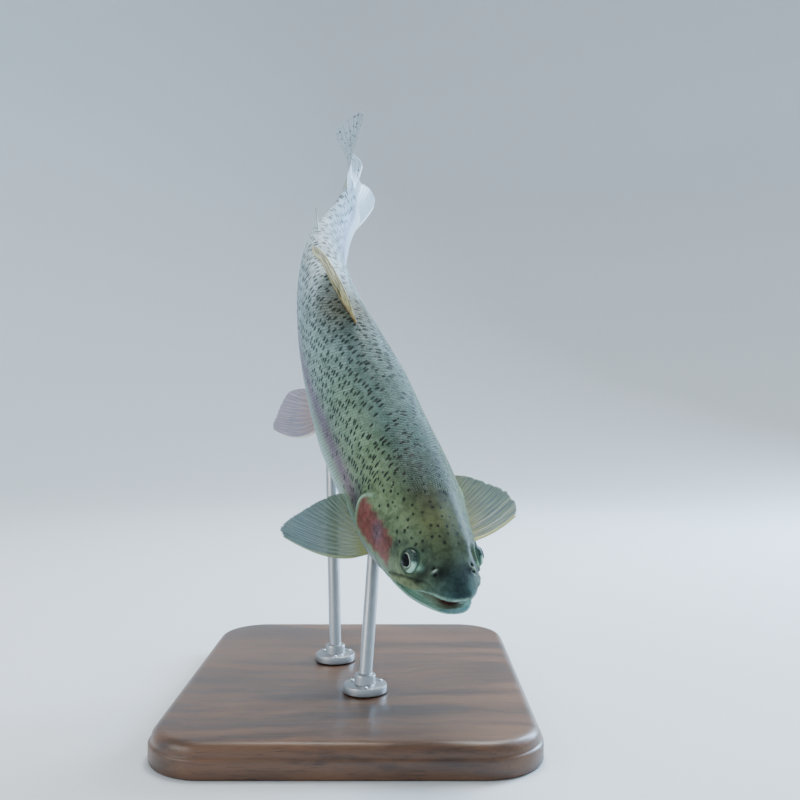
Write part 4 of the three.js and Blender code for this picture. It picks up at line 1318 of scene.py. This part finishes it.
steel = Finish("brushed_rod_steel", Metallic=1.0)
brushing = steel.noise(steel.read("brushed", "Vector"), 1.0, 4.0, 0.7)
smudge = steel.noise(steel.node("TexCoord").outputs["Object"], 40.0, 3.0, 0.5)
steel.give(Base_Color=steel.mix(brushing, tint(150, 152, 154), tint(186, 187, 188)))
steel_rough = steel.sum("MULTIPLY_ADD", brushing, 0.2, 0.22)
steel.give(Roughness=steel.sum("ADD", steel_rough, steel.times(smudge, 0.12)))
steel.give(Normal=steel.relief(brushing, 0.0001, 0.3))


def steel_piece(name, rings, node, brushed):
    """A turned steel piece; brushed gives the lay of its brush marks."""
    points, faces = closed_rings(rings)
    made = make_piece(name, points * MM, faces, steel.material, vectors={"brushed": brushed(points)})
    made.data.set_sharp_from_angle(angle=math.radians(40))
    if node:
        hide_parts(node)


def brushed_round(at):
    """Brush marks round an upright axis."""
    return lambda p: np.stack([np.hypot(*(p - at)[:, :2].T) * 6, p[:, 2] * 0.2, 0 * p[:, 0]], 1)


def brushed_along(at, way):
    """Brush marks along a rod."""
    def marks(p):
        along = (p - at) @ way
        beside = (p - np.outer(along, way)) * 5
        return np.stack([along * 0.15, beside[:, 0], beside[:, 1]], 1)
    return marks


def circle(radius, sides=64):
    """Ring of points round the upright axis."""
    turn = turns(sides)
    return np.stack([np.cos(turn) * radius, np.sin(turn) * radius, 0 * turn], 1)


for name, s_at, foot in STANDS:
    foot_place = np.array([*foot, BASE_TOP])
    rings = [circle(radius) + foot_place + (0, 0, height) for radius, height in FOOT_EDGE]
    steel_piece(f"foot_{name}", rings, f"stand_foot_{name}", brushed_round(foot_place))
    for number in range(3):
        way = math.radians(120 * number + 30)
        aside = (SCREW_CIRCLE * math.cos(way), SCREW_CIRCLE * math.sin(way), SCREW_HEIGHT)
        screw_place = foot_place + aside
        rings = [circle(radius, 32) + screw_place + (0, 0, height) for radius, height in SCREW_EDGE]
        steel_piece(f"screw_{name}_{number}", rings, None, lambda p: p * 3)
    # Pad: a short round block in the body's own frame, its top hollowed to the belly
    depth = float(smooth_line(BELLY, s_at))
    rings = []
    for radius, drop in PAD_EDGE:
        ring = circle(radius)
        straight = np.stack([s_at + ring[:, 0], ring[:, 1], 0 * ring[:, 0]], 1)
        width, _, belly = half_sizes(straight[:, 0])
        reach = 1 - np.abs(straight[:, 1] / (width + 0.3)) ** ROUNDNESS
        surface = -(belly + 0.3) * reach ** (1 / ROUNDNESS)
        straight[:, 2] = surface if drop == 0 else -depth - drop
        rings.append(bend(straight) / MM)
    steel_piece(f"pad_{name}", rings, f"stand_pad_{name}", lambda p: p * 2.5)
    # Rod: straight from the foot into the underside of the pad, with a thinner end
    pad_foot, lower = bend(np.array([[s_at, 0, -depth - 4], [s_at, 0, -depth - 5]])) / MM
    rod_top = pad_foot + unit(lower - pad_foot) * 1.2
    rod_foot = foot_place + (0, 0, 5.4)
    rod_length = np.linalg.norm(rod_top - rod_foot)
    way = (rod_top - rod_foot) / rod_length
    side_way = unit(np.cross(way, (0, 1, 0)))
    other_way = np.cross(way, side_way)
    rod_edge = [(ROD_RADIUS, rod_length * part) for part in (0, 0.25, 0.5, 0.75)]
    rod_edge += [(ROD_RADIUS, rod_length - 5), (3.9, rod_length - 4.6), (3.0, rod_length - 3.6),
                 (3.0, rod_length - 1.2), (3.4, rod_length - 0.6)]
    rings = []
    for radius, along_rod in rod_edge:
        ring = circle(radius)
        rings.append(rod_foot + way * along_rod + side_way * ring[:, :1] + other_way * ring[:, 1:2])
    steel_piece(f"rod_{name}", rings, f"stand_rod_{name}", brushed_along(rod_foot, way))

# ======================================================================================
# SETTING
# A pale paper floor that sweeps up behind the stand, three soft studio lights and the
# camera, none of it part of the model.
# ======================================================================================

ROOM_RADIUS = 2.2
ROOM_SIDES = 72
room_profile = [(0.6, 0.0), (1.2, 0.0)]
for turn in np.radians(range(10, 91, 10)):
    room_profile.append((1.2 + math.sin(turn), 1.0 - math.cos(turn)))
room_profile.append((ROOM_RADIUS, 2.2))
room_points = [(0, 0, 0)]
for radius, height in room_profile:
    for turn in np.radians(np.arange(ROOM_SIDES) * 360 / ROOM_SIDES):
        room_points.append((radius * math.cos(turn), radius * math.sin(turn), height))
room_faces = [(0, 1 + k, 1 + (k + 1) % ROOM_SIDES) for k in range(ROOM_SIDES)]
room_faces += (1 + between_rings(len(room_profile), ROOM_SIDES)).tolist()
floor = plain_object("floor", room_points, room_faces)
floor.data.shade_smooth()
floor_finish = Finish("floor_paper", Roughness=0.9, Specular_IOR_Level=0.2)
floor_grain = floor_finish.noise(floor_finish.node("TexCoord").outputs["Object"], 300.0)
floor_finish.give(Base_Color=floor_finish.mix(floor_grain, (0.70, 0.72, 0.73), (0.74, 0.76, 0.77)))
floor.data.materials.append(floor_finish.material)

world = bpy.data.worlds.new("studio")
world.use_nodes = True
sky = world.node_tree.nodes["Background"]
sky.inputs["Color"].default_value = (0.8, 0.9, 1.0, 1)
sky.inputs["Strength"].default_value = 0.45
bpy.context.scene.world = world


def soft_light(name, place, target, size, power, colour):
    """A lamp behind a wide cloth, turned to a target."""
    lamp = bpy.data.lights.new(name, "AREA")
    lamp.shape = "RECTANGLE"
    lamp.size, lamp.size_y = size
    lamp.energy = power
    lamp.color = colour
    made = bpy.data.objects.new(name, lamp)
    made.location = place
    made.rotation_euler = (Vector(target) - Vector(place)).to_track_quat("-Z", "Y").to_euler()
    bpy.context.scene.collection.objects.link(made)


soft_light("overhead", (0.15, 0.4, 1.4), (0, 0.05, 0.25), (0.8, 0.8), 24, (0.97, 1.0, 1.0))
soft_light("right_rim", (1.05, 0.68, 0.75), (0, 0, 0.2), (0.4, 1.0), 49, (0.5, 0.73, 1.0))
soft_light("left_fill", (-1.1, -0.7, 0.8), (0, 0, 0.2), (0.8, 0.8), 8, (1.0, 0.99, 0.95))

camera_data = bpy.data.cameras.new("camera")
camera_data.lens = 40.5
camera_data.sensor_width = 36
camera_data.clip_start = 0.01
camera = bpy.data.objects.new("camera", camera_data)
camera.location = (0.0286, -0.5716, 0.1896)
camera.rotation_euler = (math.pi / 2, 0, 0)
bpy.context.scene.collection.objects.link(camera)
bpy.context.scene.camera = camera
